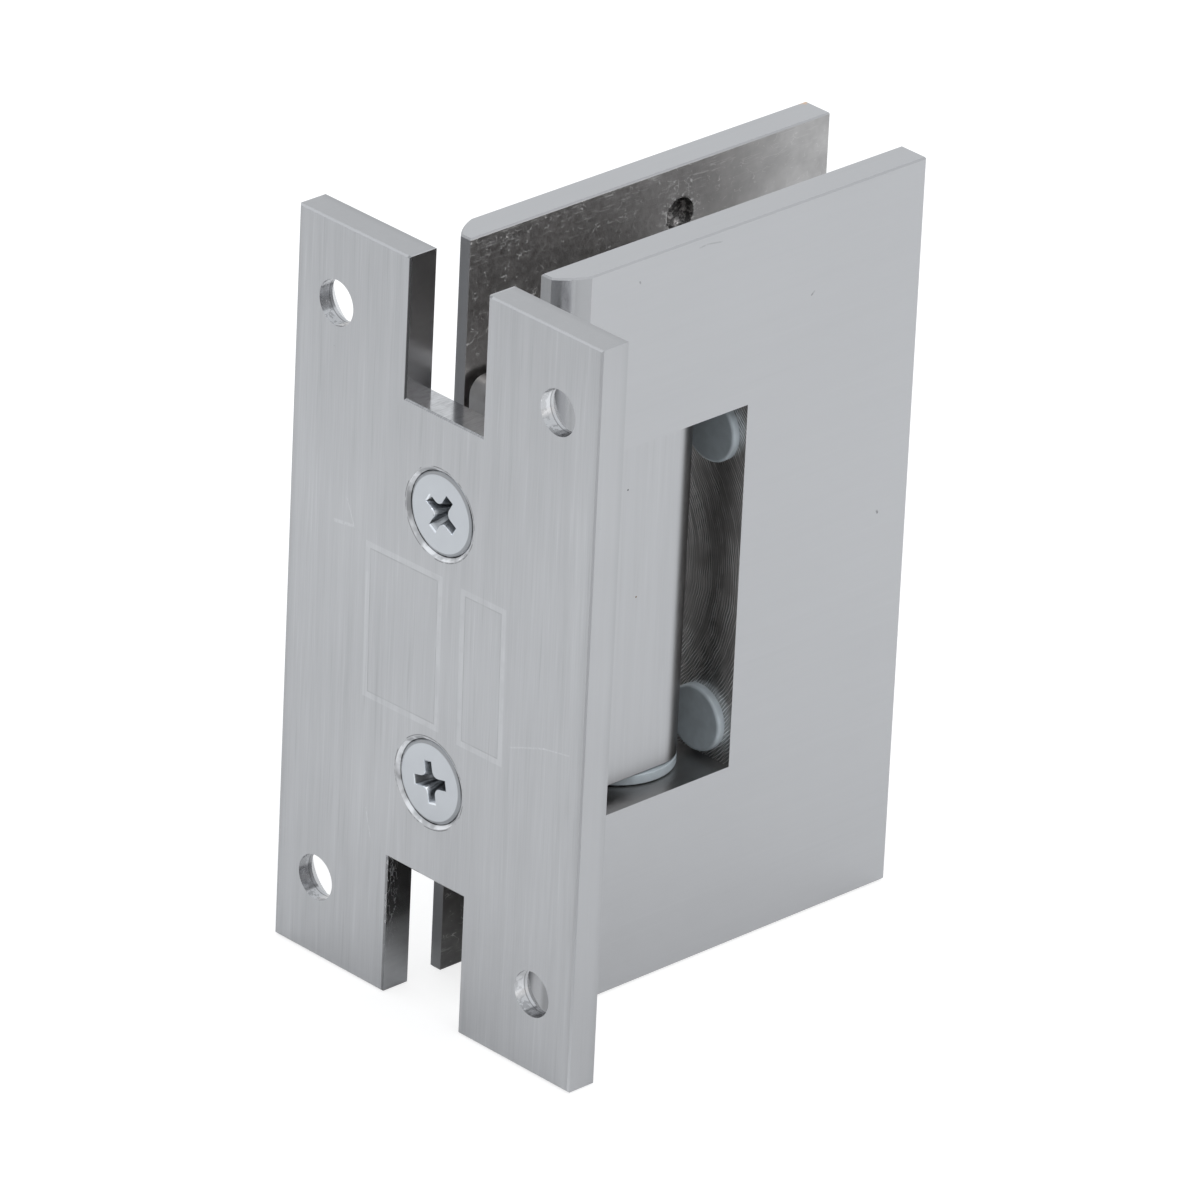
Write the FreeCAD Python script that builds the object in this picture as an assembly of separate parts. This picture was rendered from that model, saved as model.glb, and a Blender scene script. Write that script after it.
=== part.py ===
import FreeCAD, Part
import math
import os

# Glass door hinge, all sizes in millimetres.
# The origin is the centre of the wall plate's wall face. X runs into the door, Z is up,
# the clamp's front plate lies on the -Y side and its cover plate on the +Y side.

# Wall plate: an H cut from flat bar
plate_height = 88.9
wall_plate_width = 47.6
wall_plate_thickness = 3.97
notch_width = 12.2
notch_depth = 16.7
wall_hole_spacing_y = 34.9
wall_hole_spacing_z = 69.85
wall_hole_radius = 2.7
wall_hole_land = 1.9
wall_sink_radius = 4.8
edge_break = 0.2

# Pivot block, fixed to the wall plate and carrying the pin
axis_from_plate = 24.0
block_thickness = 13.0
block_height = 41.6
block_behind_axis = 6.0
block_corner_radius = 4.6
middle_bore_clearance = 0.25

# Glass clamp: front plate and boss in one piece, and a cover plate
swing_clearance = 3.0
clamp_length = 54.0
clamp_plate_thickness = 3.97
glass_gap = 11.1
bevel_length = 3.6
bevel_depth = 2.4
bevel_bulge = 0.25
boss_gap = 0.8
ear_thickness = 6.1
boss_end_wall = 11.0
boss_corner_radius = 2.0
gasket_hole_radius = 2.0
gasket_hole_depth = 1.5
gasket_hole_from_end = 22.6
gasket_hole_from_top = 5.95

# Pivot pin, its sleeves and thrust washers
pin_radius = 3.5
pin_end_inset = 0.3
pin_chamfer = 0.3
pin_cam_flat = 2.6
pin_end_flat = 1.0
pin_cam_margin = 0.5
pin_end_flat_margin = 0.3
running_clearance = 0.05
sleeve_wall = 0.95
sleeve_length = 10.3
washer_radius = 6.95
washer_thickness = 1.2
washer_end_play = 0.1
washer_bore_clearance = 0.15

# Follower bar and bowed leaf springs that hold the door closed or at a right angle
follower_width = 6.9
follower_end_wall = 1.2
follower_clearance = 0.05
leaf_thickness = 0.5
leaf_rise = 1.5
leaf_end_margin = 0.5
leaf_side_margin = 0.2
leaf_spacing = 0.02

# Flat head screws that hold the block to the wall plate
block_screw_from_end = 4.6
block_screw_length = 19.0
block_screw_radius = 2.41
block_head_radius = 4.95
block_head_recess = 0.15
block_head_rim = 0.2
block_head_bevel = 0.4
cross_reach = 2.6
cross_tip_reach = 1.0
cross_arm = 1.1
cross_tip_arm = 0.8
cross_core = 1.4
cross_tip_core = 0.9
cross_depth = 2.5
upper_cross_turn = 45.0
lower_cross_turn = 8.0

# Flat head socket screws that clamp the glass
clamp_screw_length = 14.0
clamp_screw_radius = 2.5
clamp_head_radius = 4.6
clamp_head_recess = 0.1
clamp_head_rim = 0.2
clamp_head_bevel = 0.2
clamp_screw_from_boss_top = 5.2
clamp_hole_clearance = 0.25
clamp_socket_width = 3.0
clamp_socket_depth = 1.8

# Set screws that lock the pin in the ears
set_screw_radius = 2.0
set_screw_inset = 0.3
set_socket_width = 2.0
set_socket_depth = 1.5

# Bumper pads on the pocket's end wall
bumper_radius = 3.9
bumper_height = 1.0
bumper_chamfer = 0.35
bumper_clearance = 1.0
bumper_from_front = 4.85
bumper_from_ledge = 4.4
bumper_stem_radius = 1.5
bumper_stem_length = 4.0

# Small allowances
thread_clearance = 0.03
drill_allowance = 1.0
cut_overrun = 1.0

# Places worked out from the sizes above
half_height = plate_height / 2
half_clamp = glass_gap / 2 + clamp_plate_thickness
axis_x = wall_plate_thickness + axis_from_plate
half_block = block_thickness / 2
half_block_height = block_height / 2
land_y = half_clamp - bevel_depth
swing_radius = axis_from_plate - swing_clearance
clamp_x0 = axis_x - math.sqrt(swing_radius ** 2 - land_y ** 2)
clamp_x1 = clamp_x0 + clamp_length
pocket_x1 = axis_x + half_block + bumper_height + bumper_clearance
pocket_half = half_block_height + washer_thickness + washer_end_play
boss_half = pocket_half + ear_thickness
boss_x1 = pocket_x1 + boss_end_wall
boss_y1 = glass_gap / 2 - boss_gap
ear_middle = pocket_half + ear_thickness / 2
sleeve_bore = pin_radius + running_clearance
sleeve_radius = sleeve_bore + sleeve_wall
block_screw_z = half_block_height - block_screw_from_end
follower_height = block_height - 2 * (sleeve_length + follower_end_wall)
follower_x1 = axis_x - pin_radius - follower_clearance
leaf_names = ["inner_leaf_spring", "middle_leaf_spring", "outer_leaf_spring"]
leaf_step = leaf_thickness + leaf_spacing
follower_x0 = wall_plate_thickness + leaf_rise + len(leaf_names) * leaf_step
slot_half_width = follower_width / 2 + follower_clearance
slot_half_height = follower_height / 2 + follower_clearance
clamp_screw_x = pocket_x1 + boss_end_wall / 2
clamp_screw_z = boss_half - clamp_screw_from_boss_top
bumper_y = bumper_from_front - half_clamp
bumper_z = pocket_half - bumper_from_ledge

AXIS_X = FreeCAD.Vector(1, 0, 0)
AXIS_Y = FreeCAD.Vector(0, 1, 0)
AXIS_Z = FreeCAD.Vector(0, 0, 1)
UP_AND_DOWN = {"upper": 1, "lower": -1}


def block_between(x0, x1, y0, y1, z0, z1):
    return Part.makeBox(x1 - x0, y1 - y0, z1 - z0, FreeCAD.Vector(x0, y0, z0))


def rod(radius, length, start, direction):
    return Part.makeCylinder(radius, length, start, direction)


def ends_at(shape, axis_index, value):
    """Edges whose points all lie in one plane across an axis."""
    found = []
    for edge in shape.Edges:
        if all(abs(vertex.Point[axis_index] - value) < 1e-6 for vertex in edge.Vertexes):
            found.append(edge)
    return found


def turned(points):
    """Solid of revolution about Z from (radius, height) points."""
    corners = [FreeCAD.Vector(radius, 0, height) for radius, height in points]
    wire = Part.makePolygon(corners + corners[:1])
    return Part.Face(wire).revolve(FreeCAD.Vector(), AXIS_Z, 360)


def placed(shape, direction, position):
    """Turn a shape made along Z to point along a direction, then move it."""
    copy = shape.copy()
    turn = FreeCAD.Rotation(AXIS_Z, direction)
    copy.Placement = FreeCAD.Placement(position, turn)
    return copy


# Wall plate
def h_outline():
    half_width = wall_plate_width / 2
    half_notch = notch_width / 2
    notch_z = half_height - notch_depth
    quarter = [(half_width, half_height), (half_notch, half_height), (half_notch, notch_z)]
    top = quarter + [(-y, z) for y, z in reversed(quarter)]
    bottom = [(y, -z) for y, z in reversed(top)]
    corners = [FreeCAD.Vector(0, y, z) for y, z in top + bottom]
    return Part.Face(Part.makePolygon(corners + corners[:1]))


def wall_screw_hole():
    """Clearance hole from the wall side, countersunk from the door side."""
    return turned([
        (0, -cut_overrun),
        (wall_hole_radius, -cut_overrun),
        (wall_hole_radius, wall_hole_land),
        (wall_sink_radius, wall_plate_thickness),
        (wall_sink_radius, wall_plate_thickness + cut_overrun),
        (0, wall_plate_thickness + cut_overrun),
    ])


def countersunk_hole(head_radius, head_sink, hole_radius, thickness):
    """Hole with its mouth at z = 0, running up, with a seat that fits a flat head."""
    sink_radius = head_radius + head_sink + thread_clearance
    return turned([
        (0, -cut_overrun),
        (sink_radius, -cut_overrun),
        (sink_radius, 0),
        (hole_radius, sink_radius - hole_radius),
        (hole_radius, thickness + cut_overrun),
        (0, thickness + cut_overrun),
    ])


def make_wall_plate():
    plate = h_outline().extrude(AXIS_X * wall_plate_thickness)
    rims = ends_at(plate, 0, 0) + ends_at(plate, 0, wall_plate_thickness)
    plate = plate.makeChamfer(edge_break, rims)
    for side in (1, -1):
        for level in (1, -1):
            place = FreeCAD.Vector(0, side * wall_hole_spacing_y / 2, level * wall_hole_spacing_z / 2)
            plate = plate.cut(placed(wall_screw_hole(), AXIS_X, place))
    screw_hole = countersunk_hole(
        block_head_radius, block_head_recess + block_head_rim,
        block_screw_radius + thread_clearance, wall_plate_thickness)
    for level in (1, -1):
        place = FreeCAD.Vector(0, 0, level * block_screw_z)
        plate = plate.cut(placed(screw_hole, AXIS_X, place))
    return plate


# Screws
def tapered_bar(reach, width, tip_reach, tip_width, turn):
    """Straight-sided bar that narrows from z = 0 down to the recess's floor."""
    bar = Part.makeWedge(
        -reach, 0, -width / 2, -tip_width / 2, -tip_reach,
        reach, cross_depth, width / 2, tip_width / 2, tip_reach)
    bar.rotate(FreeCAD.Vector(), AXIS_X, -90)
    bar.rotate(FreeCAD.Vector(), AXIS_Z, turn)
    return bar


def cross_recess():
    """Tapered cross for the driver, with a square core set cornerwise to its arms."""
    arm = tapered_bar(cross_reach, cross_arm, cross_tip_reach, cross_tip_arm, 0)
    other_arm = tapered_bar(cross_reach, cross_arm, cross_tip_reach, cross_tip_arm, 90)
    core = tapered_bar(cross_core / 2, cross_core, cross_tip_core / 2, cross_tip_core, 45)
    return arm.fuse(other_arm).fuse(core)


def hex_socket(width, depth):
    """Hexagon socket, open at z = 0 and running down."""
    corner_radius = width / math.sqrt(3)
    points = []
    for step in range(6):
        angle = math.radians(60 * step)
        points.append(FreeCAD.Vector(corner_radius * math.cos(angle), corner_radius * math.sin(angle), 0))
    return Part.Face(Part.makePolygon(points + points[:1])).extrude(AXIS_Z * -depth)


def flat_head_screw(length, shank_radius, head_radius, bevel, rim, recess):
    """Flat head screw along Z with its head's face at z = 0."""
    head_depth = head_radius - shank_radius
    screw = turned([
        (0, 0),
        (head_radius - bevel, 0),
        (head_radius, -rim),
        (shank_radius, -rim - head_depth),
        (shank_radius, -length),
        (0, -length),
    ])
    return screw.cut(recess)


def make_block_screw(level, cross_turn):
    recess = cross_recess()
    recess.rotate(FreeCAD.Vector(), AXIS_Z, cross_turn)
    screw = flat_head_screw(
        block_screw_length, block_screw_radius, block_head_radius, block_head_bevel, block_head_rim, recess)
    place = FreeCAD.Vector(block_head_recess, 0, level * block_screw_z)
    return placed(screw, -AXIS_X, place)


def make_clamp_screw(level):
    recess = hex_socket(clamp_socket_width, clamp_socket_depth)
    screw = flat_head_screw(
        clamp_screw_length, clamp_screw_radius, clamp_head_radius, clamp_head_bevel, clamp_head_rim, recess)
    place = FreeCAD.Vector(clamp_screw_x, half_clamp - clamp_head_recess, level * clamp_screw_z)
    return placed(screw, AXIS_Y, place)


def make_set_screw(level):
    length = boss_y1 - set_screw_inset - pin_end_flat
    socket_depth = min(set_socket_depth, length / 2)
    screw = Part.makeCylinder(set_screw_radius, length, FreeCAD.Vector(0, 0, -length))
    screw = screw.cut(hex_socket(set_socket_width, socket_depth))
    place = FreeCAD.Vector(axis_x, boss_y1 - set_screw_inset, level * ear_middle)
    return placed(screw, AXIS_Y, place)


# Pivot block
def make_pivot_block():
    block = block_between(
        wall_plate_thickness, axis_x + block_behind_axis,
        -half_block, half_block, -half_block_height, half_block_height)
    back_edges = []
    for edge in ends_at(block, 0, axis_x + block_behind_axis):
        if edge.Length > block_thickness:
            back_edges.append(edge)
    block = block.makeFillet(block_corner_radius, back_edges)
    rims = ends_at(block, 2, half_block_height) + ends_at(block, 2, -half_block_height)
    block = block.makeChamfer(edge_break, rims)

    middle_bore = pin_radius + middle_bore_clearance
    bottom = FreeCAD.Vector(axis_x, 0, -half_block_height)
    block = block.cut(rod(middle_bore, block_height, bottom, AXIS_Z))
    block = block.cut(rod(sleeve_radius, sleeve_length, bottom, AXIS_Z))
    top = FreeCAD.Vector(axis_x, 0, half_block_height)
    block = block.cut(rod(sleeve_radius, sleeve_length, top, -AXIS_Z))

    slot = block_between(
        wall_plate_thickness, axis_x,
        -slot_half_width, slot_half_width, -slot_half_height, slot_half_height)
    block = block.cut(slot)

    tapped_radius = block_screw_radius + thread_clearance
    tapped_depth = block_head_recess + block_screw_length + drill_allowance - wall_plate_thickness
    for level in (1, -1):
        start = FreeCAD.Vector(wall_plate_thickness, 0, level * block_screw_z)
        block = block.cut(rod(tapped_radius, tapped_depth, start, AXIS_X))
    return block


def make_sleeve(level):
    start = FreeCAD.Vector(axis_x, 0, level * half_block_height)
    outside = rod(sleeve_radius, sleeve_length, start, AXIS_Z * -level)
    return outside.cut(rod(sleeve_bore, sleeve_length, start, AXIS_Z * -level))


def make_washer(level):
    start = FreeCAD.Vector(axis_x, 0, level * half_block_height)
    outside = rod(washer_radius, washer_thickness, start, AXIS_Z * level)
    return outside.cut(rod(pin_radius + washer_bore_clearance, washer_thickness, start, AXIS_Z * level))


# Pivot pin
def make_pivot_pin():
    half_length = boss_half - pin_end_inset
    half_turned = [
        (0, half_length),
        (pin_radius - pin_chamfer, half_length),
        (pin_radius, half_length - pin_chamfer),
    ]
    pin = turned(half_turned + [(radius, -height) for radius, height in reversed(half_turned)])

    cam_half = follower_height / 2 + pin_cam_margin
    square = block_between(-pin_cam_flat, pin_cam_flat, -pin_cam_flat, pin_cam_flat, -cam_half, cam_half)
    band = rod(pin_radius + cut_overrun, 2 * cam_half, FreeCAD.Vector(0, 0, -cam_half), AXIS_Z)
    pin = pin.cut(band.cut(square))

    flat_half = set_screw_radius + pin_end_flat_margin
    for level in (1, -1):
        middle = level * ear_middle
        flat = block_between(
            -pin_radius, pin_radius, pin_end_flat, pin_radius + cut_overrun,
            middle - flat_half, middle + flat_half)
        pin = pin.cut(flat)
    pin.translate(AXIS_X * axis_x)
    return pin


# Follower bar and leaf springs
def make_follower_bar():
    """Shown pushed back clear of the pin's round; it moves forward onto a flat."""
    return block_between(
        follower_x0, follower_x1,
        -follower_width / 2, follower_width / 2, -follower_height / 2, follower_height / 2)


def make_leaf_spring(layer):
    """Bowed strip whose ends bear on the wall plate and whose crown faces the follower."""
    half_length = follower_height / 2 - leaf_end_margin
    half_width = follower_width / 2 - leaf_side_margin
    bow_radius = (half_length ** 2 + leaf_rise ** 2) / (2 * leaf_rise)
    inner_radius = bow_radius + layer * leaf_step
    centre = FreeCAD.Vector(wall_plate_thickness + leaf_rise - bow_radius, -half_width, 0)
    ring = rod(inner_radius + leaf_thickness, 2 * half_width, centre, AXIS_Y)
    ring = ring.cut(rod(inner_radius, 2 * half_width, centre, AXIS_Y))
    strip = block_between(
        wall_plate_thickness, follower_x0, -half_width, half_width, -half_length, half_length)
    return ring.common(strip)


# Glass clamp
def clamp_plate(side):
    """Flat plate with a bulged bevel along its outer wall-side edge."""
    inner = side * glass_gap / 2
    outer = side * half_clamp
    land = side * land_y
    bevel_end_x = clamp_x0 + bevel_length
    chord = math.hypot(bevel_length, bevel_depth)
    middle_x = (clamp_x0 + bevel_end_x) / 2 - bevel_bulge * bevel_depth / chord
    middle_y = (land + outer) / 2 + side * bevel_bulge * bevel_length / chord
    corner = FreeCAD.Vector(clamp_x0, land, -half_height)
    bevel_end = FreeCAD.Vector(bevel_end_x, outer, -half_height)
    straight = [
        bevel_end,
        FreeCAD.Vector(clamp_x1, outer, -half_height),
        FreeCAD.Vector(clamp_x1, inner, -half_height),
        FreeCAD.Vector(clamp_x0, inner, -half_height),
        corner,
    ]
    bevel = Part.Arc(corner, FreeCAD.Vector(middle_x, middle_y, -half_height), bevel_end).toShape()
    outline = Part.Wire([bevel] + Part.makePolygon(straight).Edges)
    plate = Part.Face(outline).extrude(AXIS_Z * plate_height)
    rims = ends_at(plate, 2, half_height) + ends_at(plate, 2, -half_height) + ends_at(plate, 0, clamp_x1)
    unique = {edge.hashCode(): edge for edge in rims}
    return plate.makeChamfer(edge_break, list(unique.values()))


def window(y0, y1):
    """Room for the pivot block, open towards the wall."""
    return block_between(clamp_x0 - cut_overrun, pocket_x1, y0, y1, -pocket_half, pocket_half)


def gasket_holes(side):
    """Shallow holes in a plate's inner face that locate the gaskets."""
    holes = []
    for level in (1, -1):
        start = FreeCAD.Vector(
            clamp_x1 - gasket_hole_from_end, side * glass_gap / 2,
            level * (half_height - gasket_hole_from_top))
        holes.append(rod(gasket_hole_radius, gasket_hole_depth, start, AXIS_Y * side))
    return holes


def make_clamp_body():
    boss = block_between(clamp_x0, boss_x1, -glass_gap / 2, boss_y1, -boss_half, boss_half)
    corner_edges = [edge for edge in boss.Edges if abs(edge.Length - (boss_y1 + glass_gap / 2)) < 1e-6]
    boss = boss.makeFillet(boss_corner_radius, corner_edges)
    body = clamp_plate(-1).fuse(boss).cut(window(-half_clamp - cut_overrun, boss_y1 + cut_overrun))
    for hole in gasket_holes(-1):
        body = body.cut(hole)

    bottom = FreeCAD.Vector(axis_x, 0, -boss_half)
    body = body.cut(rod(pin_radius + thread_clearance, 2 * boss_half, bottom, AXIS_Z))
    for level in (1, -1):
        set_start = FreeCAD.Vector(axis_x, 0, level * ear_middle)
        body = body.cut(rod(set_screw_radius + thread_clearance, boss_y1, set_start, AXIS_Y))

        clamp_start = FreeCAD.Vector(clamp_screw_x, boss_y1, level * clamp_screw_z)
        tip_y = half_clamp - clamp_head_recess - clamp_screw_length
        clamp_depth = boss_y1 - tip_y + drill_allowance
        body = body.cut(rod(clamp_screw_radius + thread_clearance, clamp_depth, clamp_start, -AXIS_Y))

        stem_start = FreeCAD.Vector(pocket_x1, bumper_y, level * bumper_z)
        stem_hole = rod(
            bumper_stem_radius + thread_clearance, bumper_stem_length + thread_clearance, stem_start, AXIS_X)
        body = body.cut(stem_hole)
    return body.removeSplitter()


def make_cover_plate():
    plate = clamp_plate(1).cut(window(glass_gap / 2 - cut_overrun, half_clamp + cut_overrun))
    for hole in gasket_holes(1):
        plate = plate.cut(hole)
    screw_hole = countersunk_hole(
        clamp_head_radius, clamp_head_recess + clamp_head_rim,
        clamp_screw_radius + clamp_hole_clearance, clamp_plate_thickness)
    for level in (1, -1):
        place = FreeCAD.Vector(clamp_screw_x, half_clamp, level * clamp_screw_z)
        plate = plate.cut(placed(screw_hole, -AXIS_Y, place))
    return plate


def make_bumper(level):
    pad = turned([
        (0, -bumper_stem_length),
        (bumper_stem_radius, -bumper_stem_length),
        (bumper_stem_radius, 0),
        (bumper_radius, 0),
        (bumper_radius, bumper_height - bumper_chamfer),
        (bumper_radius - bumper_chamfer, bumper_height),
        (0, bumper_height),
    ])
    return placed(pad, -AXIS_X, FreeCAD.Vector(pocket_x1, bumper_y, level * bumper_z))


def make_parts():
    parts = {
        "wall_plate": make_wall_plate(),
        "pivot_block": make_pivot_block(),
        "pivot_pin": make_pivot_pin(),
        "follower_bar": make_follower_bar(),
        "clamp_body": make_clamp_body(),
        "cover_plate": make_cover_plate(),
    }
    cross_turns = {"upper": upper_cross_turn, "lower": lower_cross_turn}
    for name, level in UP_AND_DOWN.items():
        parts[name + "_block_screw"] = make_block_screw(level, cross_turns[name])
        parts[name + "_sleeve"] = make_sleeve(level)
        parts[name + "_washer"] = make_washer(level)
        parts[name + "_set_screw"] = make_set_screw(level)
        parts[name + "_clamp_screw"] = make_clamp_screw(level)
        parts[name + "_bumper"] = make_bumper(level)
    for layer, name in enumerate(leaf_names):
        parts[name] = make_leaf_spring(layer)
    return parts


os.makedirs("parts", exist_ok=True)
for node, shape in make_parts().items():
    shape.exportStep(os.path.join("parts", node + ".step"))
    print(node, "solids", len(shape.Solids), "volume", round(shape.Volume, 1), "valid", shape.isValid())
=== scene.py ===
# %% [markdown]
# A wall hinge for a frameless glass door, in brushed satin nickel. The solids come from the
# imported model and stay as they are. This script gives them their finish, makes the small
# turned and moulded pieces again in finer meshes, and sets up the studio and the camera.

# %% Tools and frame
import bmesh
import bpy
import math
from mathutils import Matrix, Vector


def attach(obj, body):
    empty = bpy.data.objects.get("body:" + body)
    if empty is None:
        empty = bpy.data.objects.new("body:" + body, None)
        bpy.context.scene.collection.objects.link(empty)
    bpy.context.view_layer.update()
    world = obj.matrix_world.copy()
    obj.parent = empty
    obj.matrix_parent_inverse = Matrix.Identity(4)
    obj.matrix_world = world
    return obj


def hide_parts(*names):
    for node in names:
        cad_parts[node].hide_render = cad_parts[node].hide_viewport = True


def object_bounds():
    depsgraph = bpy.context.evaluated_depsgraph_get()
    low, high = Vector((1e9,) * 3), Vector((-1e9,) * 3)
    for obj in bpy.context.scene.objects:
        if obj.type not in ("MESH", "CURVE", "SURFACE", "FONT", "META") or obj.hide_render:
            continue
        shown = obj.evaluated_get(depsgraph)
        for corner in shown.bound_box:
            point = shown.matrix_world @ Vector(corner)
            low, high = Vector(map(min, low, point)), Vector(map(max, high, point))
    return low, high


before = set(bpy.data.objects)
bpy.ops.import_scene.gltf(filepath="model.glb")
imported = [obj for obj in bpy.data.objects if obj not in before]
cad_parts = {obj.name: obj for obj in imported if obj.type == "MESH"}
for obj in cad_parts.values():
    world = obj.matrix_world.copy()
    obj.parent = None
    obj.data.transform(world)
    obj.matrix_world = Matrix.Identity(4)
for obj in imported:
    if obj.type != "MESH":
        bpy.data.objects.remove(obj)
cad_low, cad_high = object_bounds()
MM = 0.001
print("solids loaded:", len(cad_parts), "box:", [round(v / MM, 1) for v in cad_high - cad_low], "mm")

# %% [markdown]
# A product picture like this one is taken with a long lens from some way off, so upright
# edges stay nearly parallel. The camera could be placed by eye, but a fit to known corners of
# the hinge gives its direction, distance and lens, and they are written here as plain values.
# The aim point is a place on the hinge, and the shift says how far it lies from the middle of
# the picture.

# %% Camera
CAMERA_AZIMUTH = math.radians(-44.55)
CAMERA_ELEVATION = math.radians(26.31)
CAMERA_ROLL = math.radians(2.73)
CAMERA_DISTANCE = 1.3453
CAMERA_LENS = 368.4
AIM_POINT = Vector((30 * MM, 0, 0))
AIM_RIGHT = 3.89 * MM
AIM_UP = 2.94 * MM


def make_camera():
    back = Vector((
        math.sin(CAMERA_AZIMUTH) * math.cos(CAMERA_ELEVATION),
        -math.cos(CAMERA_AZIMUTH) * math.cos(CAMERA_ELEVATION),
        math.sin(CAMERA_ELEVATION)))
    right = Vector((0, 0, 1)).cross(back).normalized()
    up = back.cross(right)
    level = Matrix((right, up, back)).transposed()
    turn = level @ Matrix.Rotation(CAMERA_ROLL, 3, "Z")
    data = bpy.data.cameras.new("camera")
    data.lens = CAMERA_LENS
    camera = bpy.data.objects.new("camera", data)
    camera.rotation_mode = "QUATERNION"
    camera.rotation_quaternion = turn.to_quaternion()
    camera.location = AIM_POINT + turn @ Vector((-AIM_RIGHT, -AIM_UP, CAMERA_DISTANCE))
    bpy.context.collection.objects.link(camera)
    bpy.context.scene.camera = camera
    return camera


camera = make_camera()
bpy.context.scene.view_settings.view_transform = "Standard"
print("camera at", [round(v, 3) for v in camera.location])

# %% [markdown]
# Every material below is built from nodes. Short helpers keep that readable: one adds a node
# and fills its sockets with numbers or with other nodes' outputs, the others each add one
# common step. Effects that several materials share are node groups with named inputs and
# outputs, built once.

# %% Node helpers
def add(tree, kind, values=None, **settings):
    node = tree.nodes.new("ShaderNode" + kind)
    for name, value in settings.items():
        setattr(node, name, value)
    for socket, value in (values or {}).items():
        if isinstance(value, bpy.types.NodeSocket):
            tree.links.new(value, node.inputs[socket])
        else:
            node.inputs[socket].default_value = value
    return node


def calc(tree, operation, first, second=0.0):
    return add(tree, "Math", {0: first, 1: second}, operation=operation).outputs[0]


def chain(tree, operation, values):
    """Joins any number of values by one operation."""
    result = values[0]
    for value in values[1:]:
        result = calc(tree, operation, result, value)
    return result


def product(tree, *factors):
    return chain(tree, "MULTIPLY", factors)


def total(tree, *terms):
    return chain(tree, "ADD", terms)


def largest(tree, *values):
    return chain(tree, "MAXIMUM", values)


def outside(tree, mask):
    """1 where the mask is 0, and 0 where it is 1."""
    return calc(tree, "SUBTRACT", 1.0, mask)


def size_of(tree, value):
    return calc(tree, "ABSOLUTE", value)


def gap_to(tree, value, level):
    """How far a value is from a level, above or below it."""
    return size_of(tree, calc(tree, "SUBTRACT", value, level))


def ramp(tree, value, low, high, to_low=0.0, to_high=1.0):
    """The value's place between low and high, eased and spread over to_low to to_high."""
    values = {"Value": value, "From Min": low, "From Max": high, "To Min": to_low, "To Max": to_high}
    return add(tree, "MapRange", values, interpolation_type="SMOOTHSTEP").outputs["Result"]


def pick(tree, mask, plain, masked):
    """One number where the mask is 0 and another where it is 1."""
    return add(tree, "Mix", {"Factor": mask, 2: plain, 3: masked}).outputs[0]


def blend(tree, factor, first, second):
    return add(tree, "Mix", {"Factor": factor, 6: first, 7: second}, data_type="RGBA").outputs[2]


def tint(tree, colour, shade):
    """A colour times a plain number."""
    grey = add(tree, "CombineColor", {0: shade, 1: shade, 2: shade}).outputs[0]
    mix = add(tree, "Mix", {"Factor": 1.0, 6: colour, 7: grey}, data_type="RGBA", blend_type="MULTIPLY")
    return mix.outputs[2]


def vector_calc(tree, operation, first, second=(0, 0, 0), output="Vector"):
    return add(tree, "VectorMath", {0: first, 1: second}, operation=operation).outputs[output]


def split(tree, vector):
    return add(tree, "SeparateXYZ", {0: vector}).outputs


def join(tree, x, y, z=0.0):
    return add(tree, "CombineXYZ", {0: x, 1: y, 2: z}).outputs[0]


def noise(tree, vector, scale=1.0, detail=2.0, roughness=0.5):
    values = {"Vector": vector, "Scale": scale, "Detail": detail, "Roughness": roughness}
    return add(tree, "TexNoise", values).outputs[0]


def stretched_noise(tree, vector, stretch, *settings):
    """Noise drawn out along the axes where the stretch is small."""
    return noise(tree, vector_calc(tree, "MULTIPLY", vector, stretch), *settings)


def bend(tree, vector, scale):
    """Places pushed about by a slow noise, so that what is drawn on them turns wavy."""
    push = add(tree, "TexNoise", {"Vector": vector, "Scale": scale}).outputs[1]
    return vector_calc(tree, "ADD", vector, push)


def start_group(name, inputs, outputs):
    tree = bpy.data.node_groups.new(name, "ShaderNodeTree")
    for socket, value in inputs.items():
        kind = "NodeSocketVector" if isinstance(value, tuple) else "NodeSocketFloat"
        tree.interface.new_socket(socket, in_out="INPUT", socket_type=kind).default_value = value
    for socket in outputs:
        tree.interface.new_socket(socket, in_out="OUTPUT", socket_type="NodeSocketFloat")
    print("node group", name, "gives", ", ".join(outputs))
    return tree, tree.nodes.new("NodeGroupInput").outputs, tree.nodes.new("NodeGroupOutput").inputs


def use_group(tree, group, values):
    return add(tree, "Group", values, node_tree=group).outputs


# %% [markdown]
# Metal shows its surroundings, so the studio matters as much as the finish. A white light tent
# surrounds the hinge. Where the lens looks in, the tent has an opening, and every edge that
# faces it mirrors a soft dark line: on the hinge that is what draws the corners. The opening
# belongs to the room and stays where it is when the camera goes round. A broad lamp above the
# hinge evens the light. The camera itself sees plain white behind the hinge, and the floor
# keeps a faint shadow.

# %% Studio
FLOOR_LEVEL = cad_low.z - 0.2 * MM
FLOOR_HALF_SIZE = 3.0
OPENING_DIRECTION = Vector((-0.70, -0.71, 0.0)).normalized()
OPENING_EDGE = math.cos(math.radians(24))
OPENING_CORE = math.cos(math.radians(11))
OPENING_LEVEL = 0.1
OPENING_START = 45 * MM
OPENING_FULL = 80 * MM
WHITE = (1.0, 1.0, 1.0, 1.0)
TENT_TOP = (0.88, 0.91, 0.94, 1.0)
TENT_WALL_END = 0.1
TENT_TOP_START = 0.6
OPENING_FADE_START = 0.25
LAMP_PLACE = (0.1, -0.35, 0.9)
LAMP_SIZE = 0.5
LAMP_POWER = 2.0
FLOOR_PAINT = 0.9
FLOOR_GLOW = 0.04
SEEN_PAINT = 0.32
SEEN_GLOW = 0.79


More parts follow.
